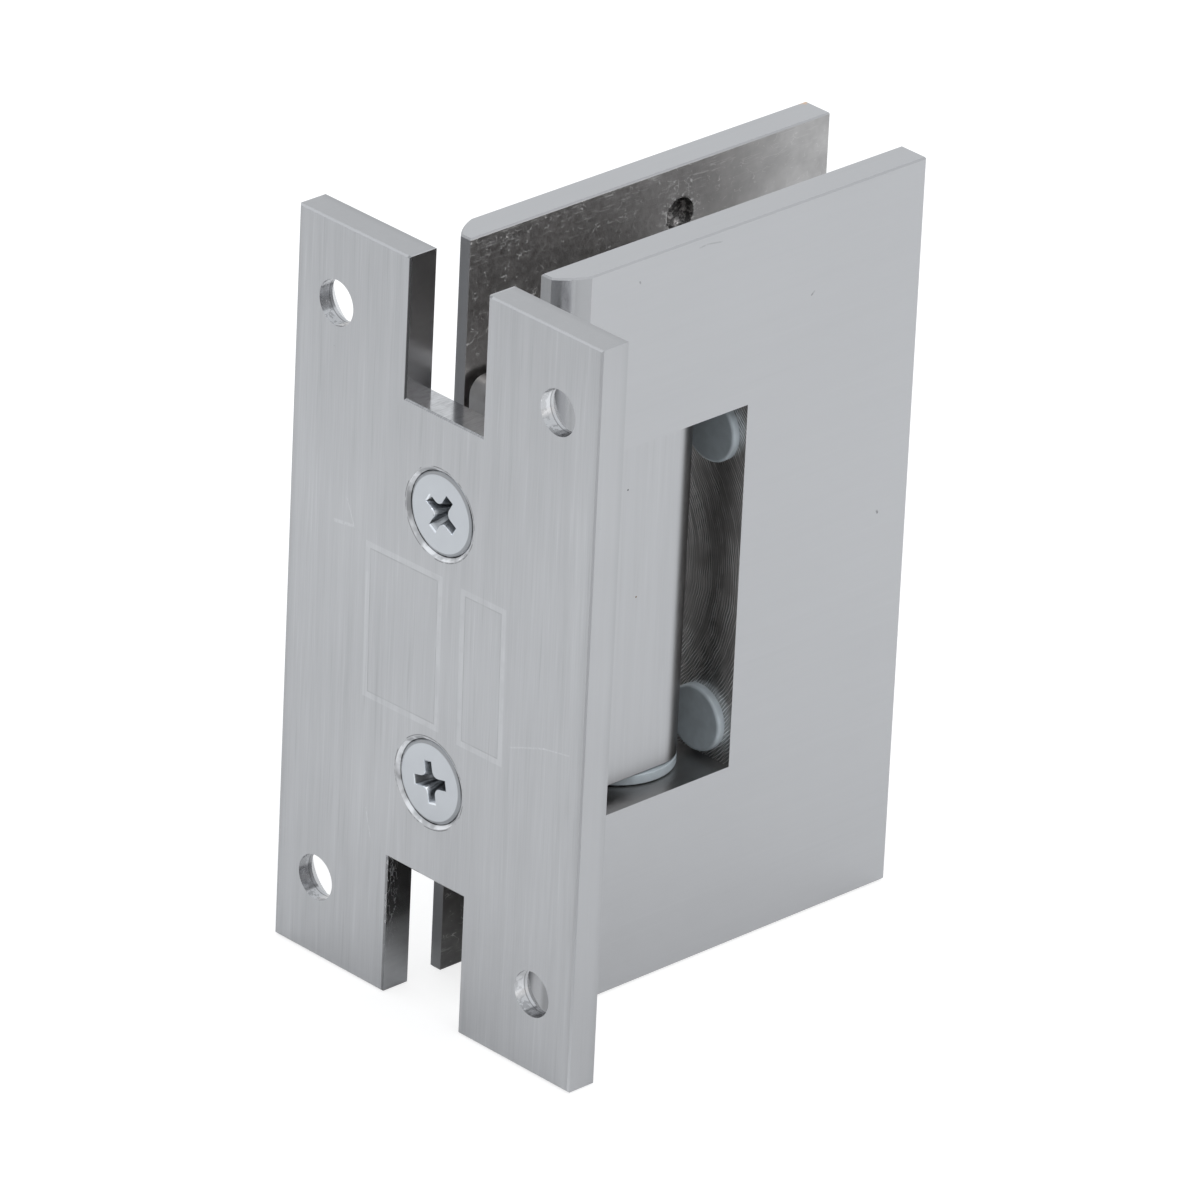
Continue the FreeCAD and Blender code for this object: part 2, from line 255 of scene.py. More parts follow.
def opening_mask(tree, direction):
    """1 towards the tent's opening and 0 away from it, for a direction or place."""
    level = vector_calc(tree, "MULTIPLY", direction, (1, 1, 0))
    facing = vector_calc(tree, "NORMALIZE", level)
    along = vector_calc(tree, "DOT_PRODUCT", facing, tuple(OPENING_DIRECTION), "Value")
    return ramp(tree, along, OPENING_EDGE, OPENING_CORE)


def seen_mask(tree):
    """1 for what the camera sees directly or through a clear piece, 0 for light and mirror images."""
    rays = add(tree, "LightPath").outputs
    return calc(tree, "MAXIMUM", rays["Is Camera Ray"], rays["Is Transmission Ray"])


def make_world():
    world = bpy.data.worlds.new("light_tent")
    bpy.context.scene.world = world
    world.use_nodes = True
    tree = world.node_tree
    tree.nodes.clear()
    direction = add(tree, "TexCoord").outputs["Generated"]
    height = split(tree, direction)["Z"]
    walls = blend(tree, ramp(tree, height, TENT_WALL_END, TENT_TOP_START), WHITE, TENT_TOP)
    below_top = ramp(tree, height, TENT_TOP_START, OPENING_FADE_START)
    opening = product(tree, opening_mask(tree, direction), below_top)
    dark = (OPENING_LEVEL, OPENING_LEVEL, OPENING_LEVEL, 1.0)
    tent = blend(tree, opening, walls, dark)
    background = add(tree, "Background", {"Color": blend(tree, seen_mask(tree), tent, WHITE)})
    add(tree, "OutputWorld", {"Surface": background.outputs[0]})


def make_floor():
    sheet = bmesh.new()
    bmesh.ops.create_grid(sheet, x_segments=1, y_segments=1, size=FLOOR_HALF_SIZE)
    bmesh.ops.translate(sheet, verts=sheet.verts, vec=(0, 0, FLOOR_LEVEL))
    mesh = bpy.data.meshes.new("floor")
    sheet.to_mesh(mesh)
    sheet.free()
    floor = bpy.data.objects.new("floor", mesh)
    bpy.context.collection.objects.link(floor)
    material = bpy.data.materials.new("white_floor")
    material.use_nodes = True
    tree = material.node_tree
    tree.nodes.clear()
    place = vector_calc(tree, "SUBTRACT", add(tree, "TexCoord").outputs["Object"], tuple(AIM_POINT))
    level_place = vector_calc(tree, "MULTIPLY", place, (1, 1, 0))
    distance = vector_calc(tree, "LENGTH", level_place, output="Value")
    dark = product(tree, opening_mask(tree, place), ramp(tree, distance, OPENING_START, OPENING_FULL))
    seen = seen_mask(tree)
    level = ramp(tree, product(tree, dark, outside(tree, seen)), 0, 1, 1.0, OPENING_LEVEL)
    paint = product(tree, level, ramp(tree, seen, 0, 1, FLOOR_PAINT, SEEN_PAINT))
    glow = product(tree, level, ramp(tree, seen, 0, 1, FLOOR_GLOW, SEEN_GLOW))
    diffuse = add(tree, "BsdfDiffuse", {"Color": tint(tree, WHITE, paint)})
    light = add(tree, "Emission", {"Color": WHITE, "Strength": glow})
    both = add(tree, "AddShader", {0: diffuse.outputs[0], 1: light.outputs[0]})
    add(tree, "OutputMaterial", {"Surface": both.outputs[0]})
    mesh.materials.append(material)


def make_lamp(name, place, size, power):
    data = bpy.data.lights.new(name, "AREA")
    data.size = size
    data.energy = power
    lamp = bpy.data.objects.new(name, data)
    lamp.location = place
    lamp.rotation_mode = "QUATERNION"
    lamp.rotation_quaternion = (AIM_POINT - Vector(place)).to_track_quat("-Z", "Y")
    bpy.context.collection.objects.link(lamp)


make_world()
make_floor()
make_lamp("key_light", LAMP_PLACE, LAMP_SIZE, LAMP_POWER)
print("floor at", round(FLOOR_LEVEL / MM, 2), "mm")

# %% [markdown]
# Brushing leaves long fine lines. The group below makes them from stretched noises, one fine
# and one broad, with a few stronger streaks. Its vector comes in millimetres with X along the
# brush stroke, so a material only has to say which way it was brushed.

# %% Brushed grain
FINE_LINE = (1 / 9, 1 / 0.2, 1 / 0.2)
BROAD_LINE = (1 / 45, 1 / 1.6, 1 / 1.6)
STREAK_LINE = (1 / 16, 1 / 0.45, 1 / 0.45)
FINE_PART = 0.42
BROAD_PART = 0.4
STREAK_PART = 0.14


def make_brushed_grain():
    tree, given, result = start_group("brushed_grain", {"Vector": (0.0, 0.0, 0.0)}, ["Tone", "Height"])
    fine = stretched_noise(tree, given["Vector"], FINE_LINE, 1.0, 3.0, 0.6)
    broad = stretched_noise(tree, given["Vector"], BROAD_LINE)
    streak = stretched_noise(tree, given["Vector"], STREAK_LINE, 1.0, 1.0)
    light = ramp(tree, streak, 0.6, 0.75)
    dark = ramp(tree, streak, 0.38, 0.25)
    lines = total(tree, product(tree, fine, FINE_PART), product(tree, broad, BROAD_PART))
    middle = (FINE_PART + BROAD_PART) / 2
    streaks = product(tree, calc(tree, "SUBTRACT", light, dark), STREAK_PART)
    tree.links.new(total(tree, lines, -middle, streaks), result["Tone"])
    tree.links.new(fine, result["Height"])
    return tree


brushed_grain = make_brushed_grain()

# %% [markdown]
# Handled metal carries small dark pits. Points are scattered at random with a set spacing, a
# share of them is kept, and each becomes a soft dot.

# %% Specks
def make_specks():
    inputs = {"Vector": (0.0, 0.0, 0.0), "Spacing": 8.0, "Radius": 0.1, "Share": 0.3}
    tree, given, result = start_group("specks", inputs, ["Mask"])
    scale = calc(tree, "DIVIDE", 1.0, given["Spacing"])
    cells = add(tree, "TexVoronoi", {"Vector": given["Vector"], "Scale": scale}).outputs
    distance = product(tree, cells["Distance"], given["Spacing"])
    chance = add(tree, "SeparateColor", {0: cells["Color"]}).outputs[0]
    kept = calc(tree, "LESS_THAN", chance, given["Share"])
    dot = ramp(tree, calc(tree, "DIVIDE", distance, given["Radius"]), 1.0, 0.5)
    tree.links.new(product(tree, dot, kept), result["Mask"])
    return tree


specks = make_specks()


def speck_mask(tree, place, spacing, radius):
    return use_group(tree, specks, {"Vector": place, "Spacing": spacing, "Radius": radius})["Mask"]


# %% [markdown]
# A scratch from handling is a short line at one place. This group marks what is near the
# stretch between two points, so each scratch is written down as its two ends. Noise along it
# makes it break up, as a dragged corner skips over brushed metal.

# %% Scratch between two points
def make_scratch():
    inputs = {"Vector": (0.0, 0.0, 0.0), "Start": (0.0, 0.0, 0.0), "End": (0.0, 0.0, 1.0), "Width": 0.2}
    tree, given, result = start_group("scratch", inputs, ["Mask"])
    offset = vector_calc(tree, "SUBTRACT", given["Vector"], given["Start"])
    run = vector_calc(tree, "SUBTRACT", given["End"], given["Start"])
    along = vector_calc(tree, "DOT_PRODUCT", offset, run, "Value")
    square = vector_calc(tree, "DOT_PRODUCT", run, run, "Value")
    part = calc(tree, "MINIMUM", calc(tree, "MAXIMUM", calc(tree, "DIVIDE", along, square), 0.0), 1.0)
    nearest = add(tree, "VectorMath", {0: run, "Scale": part}, operation="SCALE").outputs[0]
    gap = vector_calc(tree, "LENGTH", vector_calc(tree, "SUBTRACT", offset, nearest), output="Value")
    line = ramp(tree, calc(tree, "DIVIDE", gap, given["Width"]), 0.6, 0.2)
    skips = ramp(tree, noise(tree, given["Vector"], 2.5), 0.3, 0.55)
    tree.links.new(product(tree, line, skips), result["Mask"])
    return tree


scratch = make_scratch()


def scratch_mask(tree, place, start, end, width):
    values = {"Vector": place, "Start": start, "End": end, "Width": width}
    return use_group(tree, scratch, values)["Mask"]


# %% [markdown]
# Two thin frames are pressed into the wall plate. A frame is all points at one distance from
# a rectangle. Its pushed-up line gets a painted highlight, and its inner side painted shade.

# %% Pressed frame
def make_pressed_frame():
    inputs = {"Vector": (0.0, 0.0, 0.0), "Centre": (0.0, 0.0, 0.0), "Half size": (1.0, 1.0, 0.0),
              "Turn": 0.0, "Width": 0.72}
    tree, given, result = start_group("pressed_frame", inputs, ["Line", "Shadow"])
    offset = vector_calc(tree, "SUBTRACT", given["Vector"], given["Centre"])
    values = {"Vector": offset, "Angle": given["Turn"]}
    turned = add(tree, "VectorRotate", values, rotation_type="Z_AXIS").outputs[0]
    folded = vector_calc(tree, "ABSOLUTE", turned)
    over = split(tree, vector_calc(tree, "SUBTRACT", folded, given["Half size"]))
    distance = calc(tree, "MAXIMUM", over["X"], over["Y"])
    steps = calc(tree, "DIVIDE", distance, given["Width"])
    line = ramp(tree, size_of(tree, steps), 0.54, 0.42)
    inside = ramp(tree, gap_to(tree, steps, -0.6), 0.16, 0.04)
    worn = ramp(tree, noise(tree, given["Vector"], 0.5), 0.35, 0.55, 0.45, 1.0)
    tree.links.new(product(tree, line, worn), result["Line"])
    tree.links.new(product(tree, inside, worn), result["Shadow"])
    return tree


pressed_frame = make_pressed_frame()

# %% [markdown]
# An end mill leaves arcs: rings about a far centre, evenly fed but uneven in depth. Rings
# with a small wobble give their spacing, and slow noise makes some stand out more.

# %% Cutter marks
DEPTH_CHANGE = 0.37


def make_cutter_marks():
    inputs = {"Vector": (0.0, 0.0, 0.0), "Centre": (0.0, 0.0, 0.0), "Pitch": 0.3, "Wobble": 0.6}
    tree, given, result = start_group("cutter_marks", inputs, ["Tone", "Height"])
    offset = vector_calc(tree, "SUBTRACT", given["Vector"], given["Centre"])
    radius = vector_calc(tree, "LENGTH", offset, output="Value")
    wobble = product(tree, noise(tree, given["Vector"], 0.35), given["Wobble"])
    turns = calc(tree, "DIVIDE", total(tree, radius, wobble), given["Pitch"])
    wave = calc(tree, "SINE", product(tree, turns, 2 * math.pi))
    ridge = ramp(tree, wave, 0.2, 1.0)
    along_turns = join(tree, product(tree, turns, DEPTH_CHANGE), 0.0)
    depth = ramp(tree, noise(tree, along_turns, 1.0, 3.0), 0.35, 0.65)
    patches = ramp(tree, noise(tree, given["Vector"], 0.22), 0.3, 0.65, 0.25, 1.0)
    tree.links.new(product(tree, ridge, depth, patches), result["Tone"])
    tree.links.new(ridge, result["Height"])
    return tree


cutter_marks = make_cutter_marks()

# %% [markdown]
# Surfaces the brush never reached look different: greyer, warmer, with stains left by cutting
# fluid and plating salts, and with fine scratches in all directions.

# %% Unbrushed metal
STAIN_NOISE = (0.16, 3.0, 0.6)
STAIN_PART = 1.3
MOTTLE_SCALE = 1.1
MOTTLE_PART = 0.4
RAW_BEND = 0.5
RAW_STREAK_STRETCH = (0.35, 1.0, 2.8)
RAW_STREAK_NOISE = (1.6, 3.0, 0.7)
RAW_STREAKS = (0.68, 0.74)
SWIRL_STRETCH = (0.8, 1.0, 1.3)
SWIRL_NOISE = (0.9, 1.0)
HAIR_WIDTHS = (0.016, 0.006)
RAW_PITS = (1.8, 0.14)


def make_raw_skin():
    tree, given, result = start_group("raw_skin", {"Vector": (0.0, 0.0, 0.0)}, ["Tone", "Marks", "Height"])
    place = given["Vector"]
    stains = noise(tree, place, *STAIN_NOISE)
    mottle = noise(tree, place, MOTTLE_SCALE)
    middle = (STAIN_PART + MOTTLE_PART) / 2
    tone = total(tree, product(tree, stains, STAIN_PART), product(tree, mottle, MOTTLE_PART), -middle)
    bent = bend(tree, place, RAW_BEND)
    streaks = ramp(tree, stretched_noise(tree, bent, RAW_STREAK_STRETCH, *RAW_STREAK_NOISE), *RAW_STREAKS)
    swirl = stretched_noise(tree, bent, SWIRL_STRETCH, *SWIRL_NOISE)
    hairs = ramp(tree, gap_to(tree, swirl, 0.5), *HAIR_WIDTHS)
    tangles = product(tree, hairs, ramp(tree, noise(tree, place, 0.7), 0.5, 0.6))
    marks = largest(tree, streaks, speck_mask(tree, place, *RAW_PITS), tangles)
    tree.links.new(tone, result["Tone"])
    tree.links.new(marks, result["Marks"])
    tree.links.new(mottle, result["Height"])
    return tree


raw_skin = make_raw_skin()

# %% [markdown]
# The metals share one frame: a Principled shader, places in millimetres, and the way a face
# looks. A material then only adds its own marks. The satin is nickel: a little bluer than
# steel, and rough enough to blur everything it mirrors. The narrow chamfers along the edges
# are rubbed duller than the faces, and a mask finds them by their slant.

# %% Metal base
NICKEL = (0.500, 0.502, 0.512, 1.0)
RAW_NICKEL = (0.46, 0.45, 0.445, 1.0)
SATIN_ROUGHNESS = 0.36
EDGE_ROUGHNESS = 0.75
BUMP_DEPTH = 0.02 * MM
MM_PER_METRE = (1000, 1000, 1000)
SQUARE_ON = (0.8, 0.95)
HALF_TURNED = (0.5, 0.8)


def start_metal(name, roughness, metallic=1.0):
    material = bpy.data.materials.new(name)
    material.use_nodes = True
    tree = material.node_tree
    shader = tree.nodes["Principled BSDF"]
    shader.inputs["Metallic"].default_value = metallic
    shader.inputs["Roughness"].default_value = roughness
    place = vector_calc(tree, "MULTIPLY", add(tree, "TexCoord").outputs["Object"], MM_PER_METRE)
    print("material", name)
    return material, tree, shader, place


def face_direction(tree):
    """How squarely a face looks along X, Y and Z, each from 0 to 1."""
    normal = add(tree, "TexCoord").outputs["Normal"]
    return split(tree, vector_calc(tree, "ABSOLUTE", normal))


def bump(tree, shader, height, strength):
    values = {"Height": height, "Strength": strength, "Distance": BUMP_DEPTH}
    tree.links.new(add(tree, "Bump", values).outputs[0], shader.inputs["Normal"])


def edge_mask(tree, facing):
    """1 on narrow chamfers, whose direction is between two axes."""
    return ramp(tree, largest(tree, facing["X"], facing["Y"], facing["Z"]), 0.9, 0.8)


# %% [markdown]
# The wall plate was brushed along its height on both broad faces, then slotted, drilled and
# countersunk. Its finish is built in layers, and each function below gives one of them. The
# first is the brushed faces: the grain, the two frames, the scratches and pits of handling,
# painted shade on the top faces and along the borders, and painted light towards one low
# corner with painted shade near the top.

# %% Wall plate faces
HALF_WIDTH = 23.8
BORDER_WIDTH = 1.1
FACE_GRAIN = 0.45
SIDE_GRAIN = 0.12
CLOUD_SCALE = 0.06
CLOUD_PART = 0.12
TOP_SHADE = 0.12
SIDE_SHADE = 0.025
FRAMES = [((5.1, -0.38, 0), (5.75, 9.0, 0)), ((-7.5, -0.45, 0), (3.25, 9.05, 0))]
FRAME_TURN = math.radians(1.0)
FRAME_HIGHLIGHT = 0.10
FRAME_SHADE = 0.14
SCRATCHES = [
    ((0, -12.2, -7.0), (0, -15.0, -5.9), 0.22),
    ((0, -15.0, -5.9), (0, -17.6, -5.0), 0.25),
    ((0, -17.6, -5.0), (0, -21.5, -4.3), 0.2),
    ((0, 16.4, 9.3), (0, 13.6, 9.7), 0.5),
    ((0, 14.6, 12.6), (0, 13.3, 9.6), 0.2),
    ((0, 9.8, -23.2), (0, 8.9, -26.5), 0.2),
]
SCRATCH_LIGHT = 0.13
WALL_PITS = ((9.0, 0.16), (4.0, 0.07))
PIT_SHADE = 0.3
BORDER_SHADE = 0.1
BACK_BORDER = (2.6, 3.9)
BACK_BORDER_SHADE = 0.08
LOW_PART = (-18.0, -42.0)
RIGHT_PART = (0.0, -18.0)
LOW_CORNER_LIGHT = 0.06
UPPER_PART = (18.0, 42.0)
UPPER_SHADE = 0.05


def wall_face_tone(tree, place, facing, broad_face, grain_tone):
    x, y, z = split(tree, place)
    front = product(tree, broad_face, calc(tree, "LESS_THAN", x, 1.0))
    clouds = calc(tree, "SUBTRACT", noise(tree, place, CLOUD_SCALE), 0.5)
    brushed = product(tree, grain_tone, ramp(tree, broad_face, 0, 1, SIDE_GRAIN, FACE_GRAIN))
    # Painted shade: the top faces are darker, and all other faces a little darker.
    painted_top_shade = ramp(tree, facing["Z"], *SQUARE_ON, -SIDE_SHADE, -TOP_SHADE)
    tone = total(tree, brushed, product(tree, clouds, CLOUD_PART), painted_top_shade)
    for centre, half_size in FRAMES:
        values = {"Vector": join(tree, y, z), "Centre": centre, "Half size": half_size, "Turn": FRAME_TURN}
        frame_marks = use_group(tree, pressed_frame, values)
        # Painted highlight on each frame's line, and painted shade just inside it.
        painted_frame_highlight = product(tree, frame_marks["Line"], front, FRAME_HIGHLIGHT)
        painted_frame_shade = product(tree, frame_marks["Shadow"], front, -FRAME_SHADE)
        tone = total(tree, tone, painted_frame_highlight, painted_frame_shade)
    for start, end, width in SCRATCHES:
        mask = scratch_mask(tree, place, start, end, width)
        tone = total(tree, tone, product(tree, mask, SCRATCH_LIGHT))
    pits = largest(tree, *(speck_mask(tree, place, *pit) for pit in WALL_PITS))
    # Painted shade along the front's borders and on the back's rims, painted light towards the low corner on
    # the -Y side, and painted shade near the top.
    beside_edge = ramp(tree, size_of(tree, y), HALF_WIDTH - BORDER_WIDTH, HALF_WIDTH)
    back_part = product(tree, ramp(tree, x, *BACK_BORDER), outside(tree, broad_face))
    low_corner_painted_light = product(tree, ramp(tree, z, *LOW_PART), ramp(tree, y, *RIGHT_PART), LOW_CORNER_LIGHT)
    painted_light_and_shade = total(tree, low_corner_painted_light, ramp(tree, z, *UPPER_PART, 0.0, -UPPER_SHADE))
    return total(
        tree, tone,
        product(tree, pits, -PIT_SHADE),
        product(tree, beside_edge, front, -BORDER_SHADE),
        product(tree, back_part, -BACK_BORDER_SHADE),
        product(tree, painted_light_and_shade, front))


# %% [markdown]
# Next, the holes. The drill tore the wall holes' walls up to a step, and beyond it they are
# smooth. The bores get painted light, more on the tears at their sides, with painted shade on
# the tears that face up or down and a painted dark line at the step. The two large
# countersinks hold the block's screws: their cones carry patches of painted highlight and
# painted shade deep in the gap beside the head, and a broken burr stands round their mouths.

# %% Wall plate holes
HOLE_Y = 17.45
HOLE_Z = 34.925
SCREW_Z = 16.2
HOLE_REACH = 5.0
STEP_X = 1.45
STEP_WIDTHS = (0.12, 0.04)
STEP_PAINTED_LIGHT_AND_SHADE = (0.15, -0.3)
TEAR_BEND = 0.6
TEAR_NOISE = (1.3, 3.0, 0.6)
TEARS = (0.48, 0.58)
TEAR_TONE = 0.35
SINK_RADIUS = 5.33
CONE_HIGHLIGHT_PATCHES = (0.4, 0.6)
CONE_HIGHLIGHT = (0.1, 0.85)
GAP_X = 0.34
GAP_SHADE = 1.35
BURR_RADIUS = SINK_RADIUS + 0.13
BURR_WIDTHS = (0.07, 0.03)
BURR_NOISE = (0.4, 4.0, 0.6)
BURRS = (0.46, 0.52)
BURR_SHADE = 0.55


def ring_distance(tree, y, z, centre_y, centre_z):
    """Distance to the nearest of four holes that mirror each other about both middles."""
    off_y = calc(tree, "SUBTRACT", size_of(tree, y), centre_y)
    off_z = calc(tree, "SUBTRACT", size_of(tree, z), centre_z)
    return vector_calc(tree, "LENGTH", join(tree, off_y, off_z), output="Value")


def bore_tone(tree, place, x, facing):
    """Torn walls up to the step, with painted light on the tears at the sides and painted shade on those
    above and below, a painted dark line at the step and painted light on the rest.
    """
    tears = ramp(tree, noise(tree, bend(tree, place, TEAR_BEND), *TEAR_NOISE), *TEARS)
    painted_tear_light = ramp(tree, facing["Z"], 0.35, 0.65, TEAR_TONE, -TEAR_TONE)
    torn = product(tree, tears, painted_tear_light, ramp(tree, x, STEP_X + 0.05, STEP_X - 0.15))
    return total(tree, torn, ramp(tree, gap_to(tree, x, STEP_X), *STEP_WIDTHS, *STEP_PAINTED_LIGHT_AND_SHADE))


def cone_tone(tree, place, x):
    """Patches of painted highlight on a countersink's cone, and painted shade in the gap behind the screw's
    rim.
    """
    patches = ramp(tree, noise(tree, place, 0.5), *CONE_HIGHLIGHT_PATCHES, *CONE_HIGHLIGHT)
    return total(tree, patches, ramp(tree, x, GAP_X, GAP_X + 0.05, 0.0, -GAP_SHADE))


def burr_tone(tree, place, to_sink):
    burrs = ramp(tree, noise(tree, place, *BURR_NOISE), *BURRS, 0.0, -BURR_SHADE)
    return product(tree, burrs, ramp(tree, gap_to(tree, to_sink, BURR_RADIUS), *BURR_WIDTHS))


# %% [markdown]
# The end mill left the slots bright as mirrors, so they show the dark inside of the clamp and
# the light behind it. Their floors carry soft bands where it swept, and the lower slot's sides
# have a few fine wavy lines near the front, where it chattered.

# %% Wall plate slots
SLOT_HALF_WIDTH = 6.2
SLOT_Z = 27.5
SLOT_FLOOR_LEVEL = 1.05
SLOT_SIDES = (-32.0, 32.0)
SLOT_SIDE_PAINTED_LEVELS = (0.8, 1.3)
SWEEP_STRETCH = (0.5, 3.2, 1.0)
SWEEP_NOISE = (1.6, 3.0)
BAND_TONE = 0.14
SIDE_BAND_PART = 0.2
WAVE_BEND = 0.6
WAVE_STRETCH = (2.6, 1.0, 0.7)
WAVE_WIDTHS = (0.03, 0.01)
WAVE_LIGHT = 0.5


def slot_masks(tree, y, z):
    """Masks of the two slots, and of the slots with the chamfers beside them."""
    across = size_of(tree, y)
    along = size_of(tree, z)
    inside = product(tree, ramp(tree, across, SLOT_HALF_WIDTH + 0.1, SLOT_HALF_WIDTH),
                     ramp(tree, along, SLOT_Z, SLOT_Z + 0.1))
    beside = product(tree, ramp(tree, across, SLOT_HALF_WIDTH + 0.5, SLOT_HALF_WIDTH + 0.3),
                     ramp(tree, along, SLOT_Z - 0.4, SLOT_Z - 0.2))
    return inside, beside


def slot_waves(tree, place, x, z, facing):
    """Wavy lines on the lower slot's sides, where they come near the plate's front."""
    chatter = stretched_noise(tree, bend(tree, place, WAVE_BEND), WAVE_STRETCH)
    lines = ramp(tree, gap_to(tree, chatter, 0.5), *WAVE_WIDTHS)
    low_part = product(tree, ramp(tree, z, -24.0, -26.0), ramp(tree, z, -41.0, -34.0))
    sides = ramp(tree, facing["Z"], 0.2, 0.0)
    return product(tree, lines, ramp(tree, x, 2.6, 1.2), low_part, sides, WAVE_LIGHT)


def slot_level(tree, z, facing, sweep):
    on_floor = ramp(tree, facing["Z"], 0.3, 0.7)
    # Painted shade low and painted light high on the slot sides.
    level = pick(tree, on_floor, ramp(tree, z, *SLOT_SIDES, *SLOT_SIDE_PAINTED_LEVELS), SLOT_FLOOR_LEVEL)
    bands = ramp(tree, sweep, 0.3, 0.7, -BAND_TONE, BAND_TONE)
    return total(tree, level, product(tree, bands, ramp(tree, on_floor, 0, 1, SIDE_BAND_PART, 1.0)))


# %% [markdown]
# Now the layers are joined. Roughness decides what a face shows: the dull chamfers become soft
# lines, the slots mirror. Where roughness drifts over a face it stays on one side of about
# 0.27, here and in the finishes below. Cycles takes anything smoother for a mirror when it
# cleans up noise, and a face that wanders across that limit gets hard-edged patches.

# %% Wall plate finish
SLOT_ROUGHNESS = 0.14
WAVE_ROUGHNESS = 0.6
BORE_ROUGHNESS = 0.22
CONE_ROUGHNESS = 0.5
EDGE_PAINTED_LIGHT = 0.3
SLOT_EDGE_SHADE = 0.3
WALL_BUMP = 0.12


def make_wall_finish():
    material, tree, shader, place = start_metal("wall_plate_satin", SATIN_ROUGHNESS)
    x, y, z = split(tree, place)
    facing = face_direction(tree)
    broad_face = ramp(tree, facing["X"], *SQUARE_ON)
    not_broad = outside(tree, broad_face)
    grain = use_group(tree, brushed_grain, {"Vector": join(tree, z, y, x)})
    to_hole = ring_distance(tree, y, z, HOLE_Y, HOLE_Z)
    to_sink = ring_distance(tree, y, z, 0.0, SCREW_Z)
    bore = product(tree, ramp(tree, to_hole, HOLE_REACH, HOLE_REACH - 0.1), not_broad)
    cone = product(tree, ramp(tree, to_sink, SINK_RADIUS + 0.02, SINK_RADIUS - 0.02), not_broad)
    in_slot, beside_slot = slot_masks(tree, y, z)
    in_slot = product(tree, in_slot, not_broad)
    chamfers = edge_mask(tree, facing)
    # Painted shade on the chamfers beside the slots, and painted light on the other chamfers.
    slot_edge = product(tree, chamfers, beside_slot, -SLOT_EDGE_SHADE)
    edges = product(tree, chamfers, ramp(tree, to_hole, HOLE_REACH - 0.1, HOLE_REACH),
                    ramp(tree, to_sink, SINK_RADIUS + 0.07, SINK_RADIUS + 0.17), outside(tree, beside_slot))
    level = total(
        tree, 1.0,
        wall_face_tone(tree, place, facing, broad_face, grain["Tone"]),
        burr_tone(tree, place, to_sink),
        product(tree, cone, cone_tone(tree, place, x)),
        product(tree, bore, bore_tone(tree, place, x, facing)),
        product(tree, edges, EDGE_PAINTED_LIGHT),
        slot_edge)
    sweep = stretched_noise(tree, place, SWEEP_STRETCH, *SWEEP_NOISE)
    waves = slot_waves(tree, place, x, z, facing)
    shine = total(tree, slot_level(tree, z, facing, sweep), waves, slot_edge)
    tree.links.new(tint(tree, NICKEL, pick(tree, in_slot, level, shine)), shader.inputs["Base Color"])
    roughness = ramp(tree, edges, 0, 1, SATIN_ROUGHNESS, EDGE_ROUGHNESS)
    roughness = pick(tree, cone, roughness, CONE_ROUGHNESS)
    roughness = pick(tree, bore, roughness, BORE_ROUGHNESS)
    slot_roughness = ramp(tree, waves, 0, 1, SLOT_ROUGHNESS, WAVE_ROUGHNESS)
    tree.links.new(pick(tree, in_slot, roughness, slot_roughness), shader.inputs["Roughness"])
    bump(tree, shader, pick(tree, in_slot, grain["Height"], sweep), WALL_BUMP)
    return material


wall_finish = make_wall_finish()

# %% [markdown]
# The clamp plates are brushed along the door, finer than the wall plate, and only on their
# outer faces, their rims and the bevel. A few marks lie where the real plate has them. The
# bevel is smoother and carries a painted reflection: a dark band along it, between a lighter
# and a darker part. The land beside it gets painted shade, and on one far corner the nickel
# is worn through to the brass.

# %% Clamp brushed faces
BEVEL_END_X = 11.9
BEVEL_BAND_X = 8.1
BEVEL_BAND_SHADE = 0.6
BEVEL_REFLECTION_LEVELS = (0.2, -0.2)
LAND_X = 8.25
LAND_SHADE = 0.36
CLAMP_GRAIN = 0.06
CLAMP_CLOUD_SCALE = 0.05
CLAMP_CLOUDS = 0.04
CLAMP_PITS = ((9.0, 0.13), (4.5, 0.07))
CLAMP_PIT_SHADE = 0.25
MARKS = [
    ((45.4, -9.52, 32.7), (45.8, -9.52, 33.0), 0.25, 0.4),
    ((57.5, -9.52, 2.9), (57.6, -9.52, 2.7), 0.35, 0.5),
    ((27.9, -9.52, 43.3), (29.1, -9.52, 43.4), 0.2, 0.2),
    ((29.1, -9.52, 43.4), (31.2, -9.52, 43.1), 0.2, 0.2),
    ((19.1, -9.52, 41.8), (19.2, -9.52, 41.6), 0.25, 0.35),
]
WORN_CORNER = (61.6, 9.4, 44.4)
WORN_REACH = (1.2, 0.7)
WORN_STRENGTH = 0.7
BARE_BRASS = (0.80, 0.50, 0.28, 1.0)


def bevel_painted_reflection(tree, x):
    """A painted reflection across the bevel: a dark band that starts sharply and fades, between lighter and
    darker parts.
    """
    band = product(tree, ramp(tree, x, BEVEL_BAND_X - 0.08, BEVEL_BAND_X + 0.08, 0.0, -BEVEL_BAND_SHADE),
                   ramp(tree, x, BEVEL_BAND_X + 1.35, BEVEL_BAND_X + 0.75))
    return total(tree, band, ramp(tree, x, BEVEL_BAND_X + 1.8, BEVEL_BAND_X + 2.3, *BEVEL_REFLECTION_LEVELS))


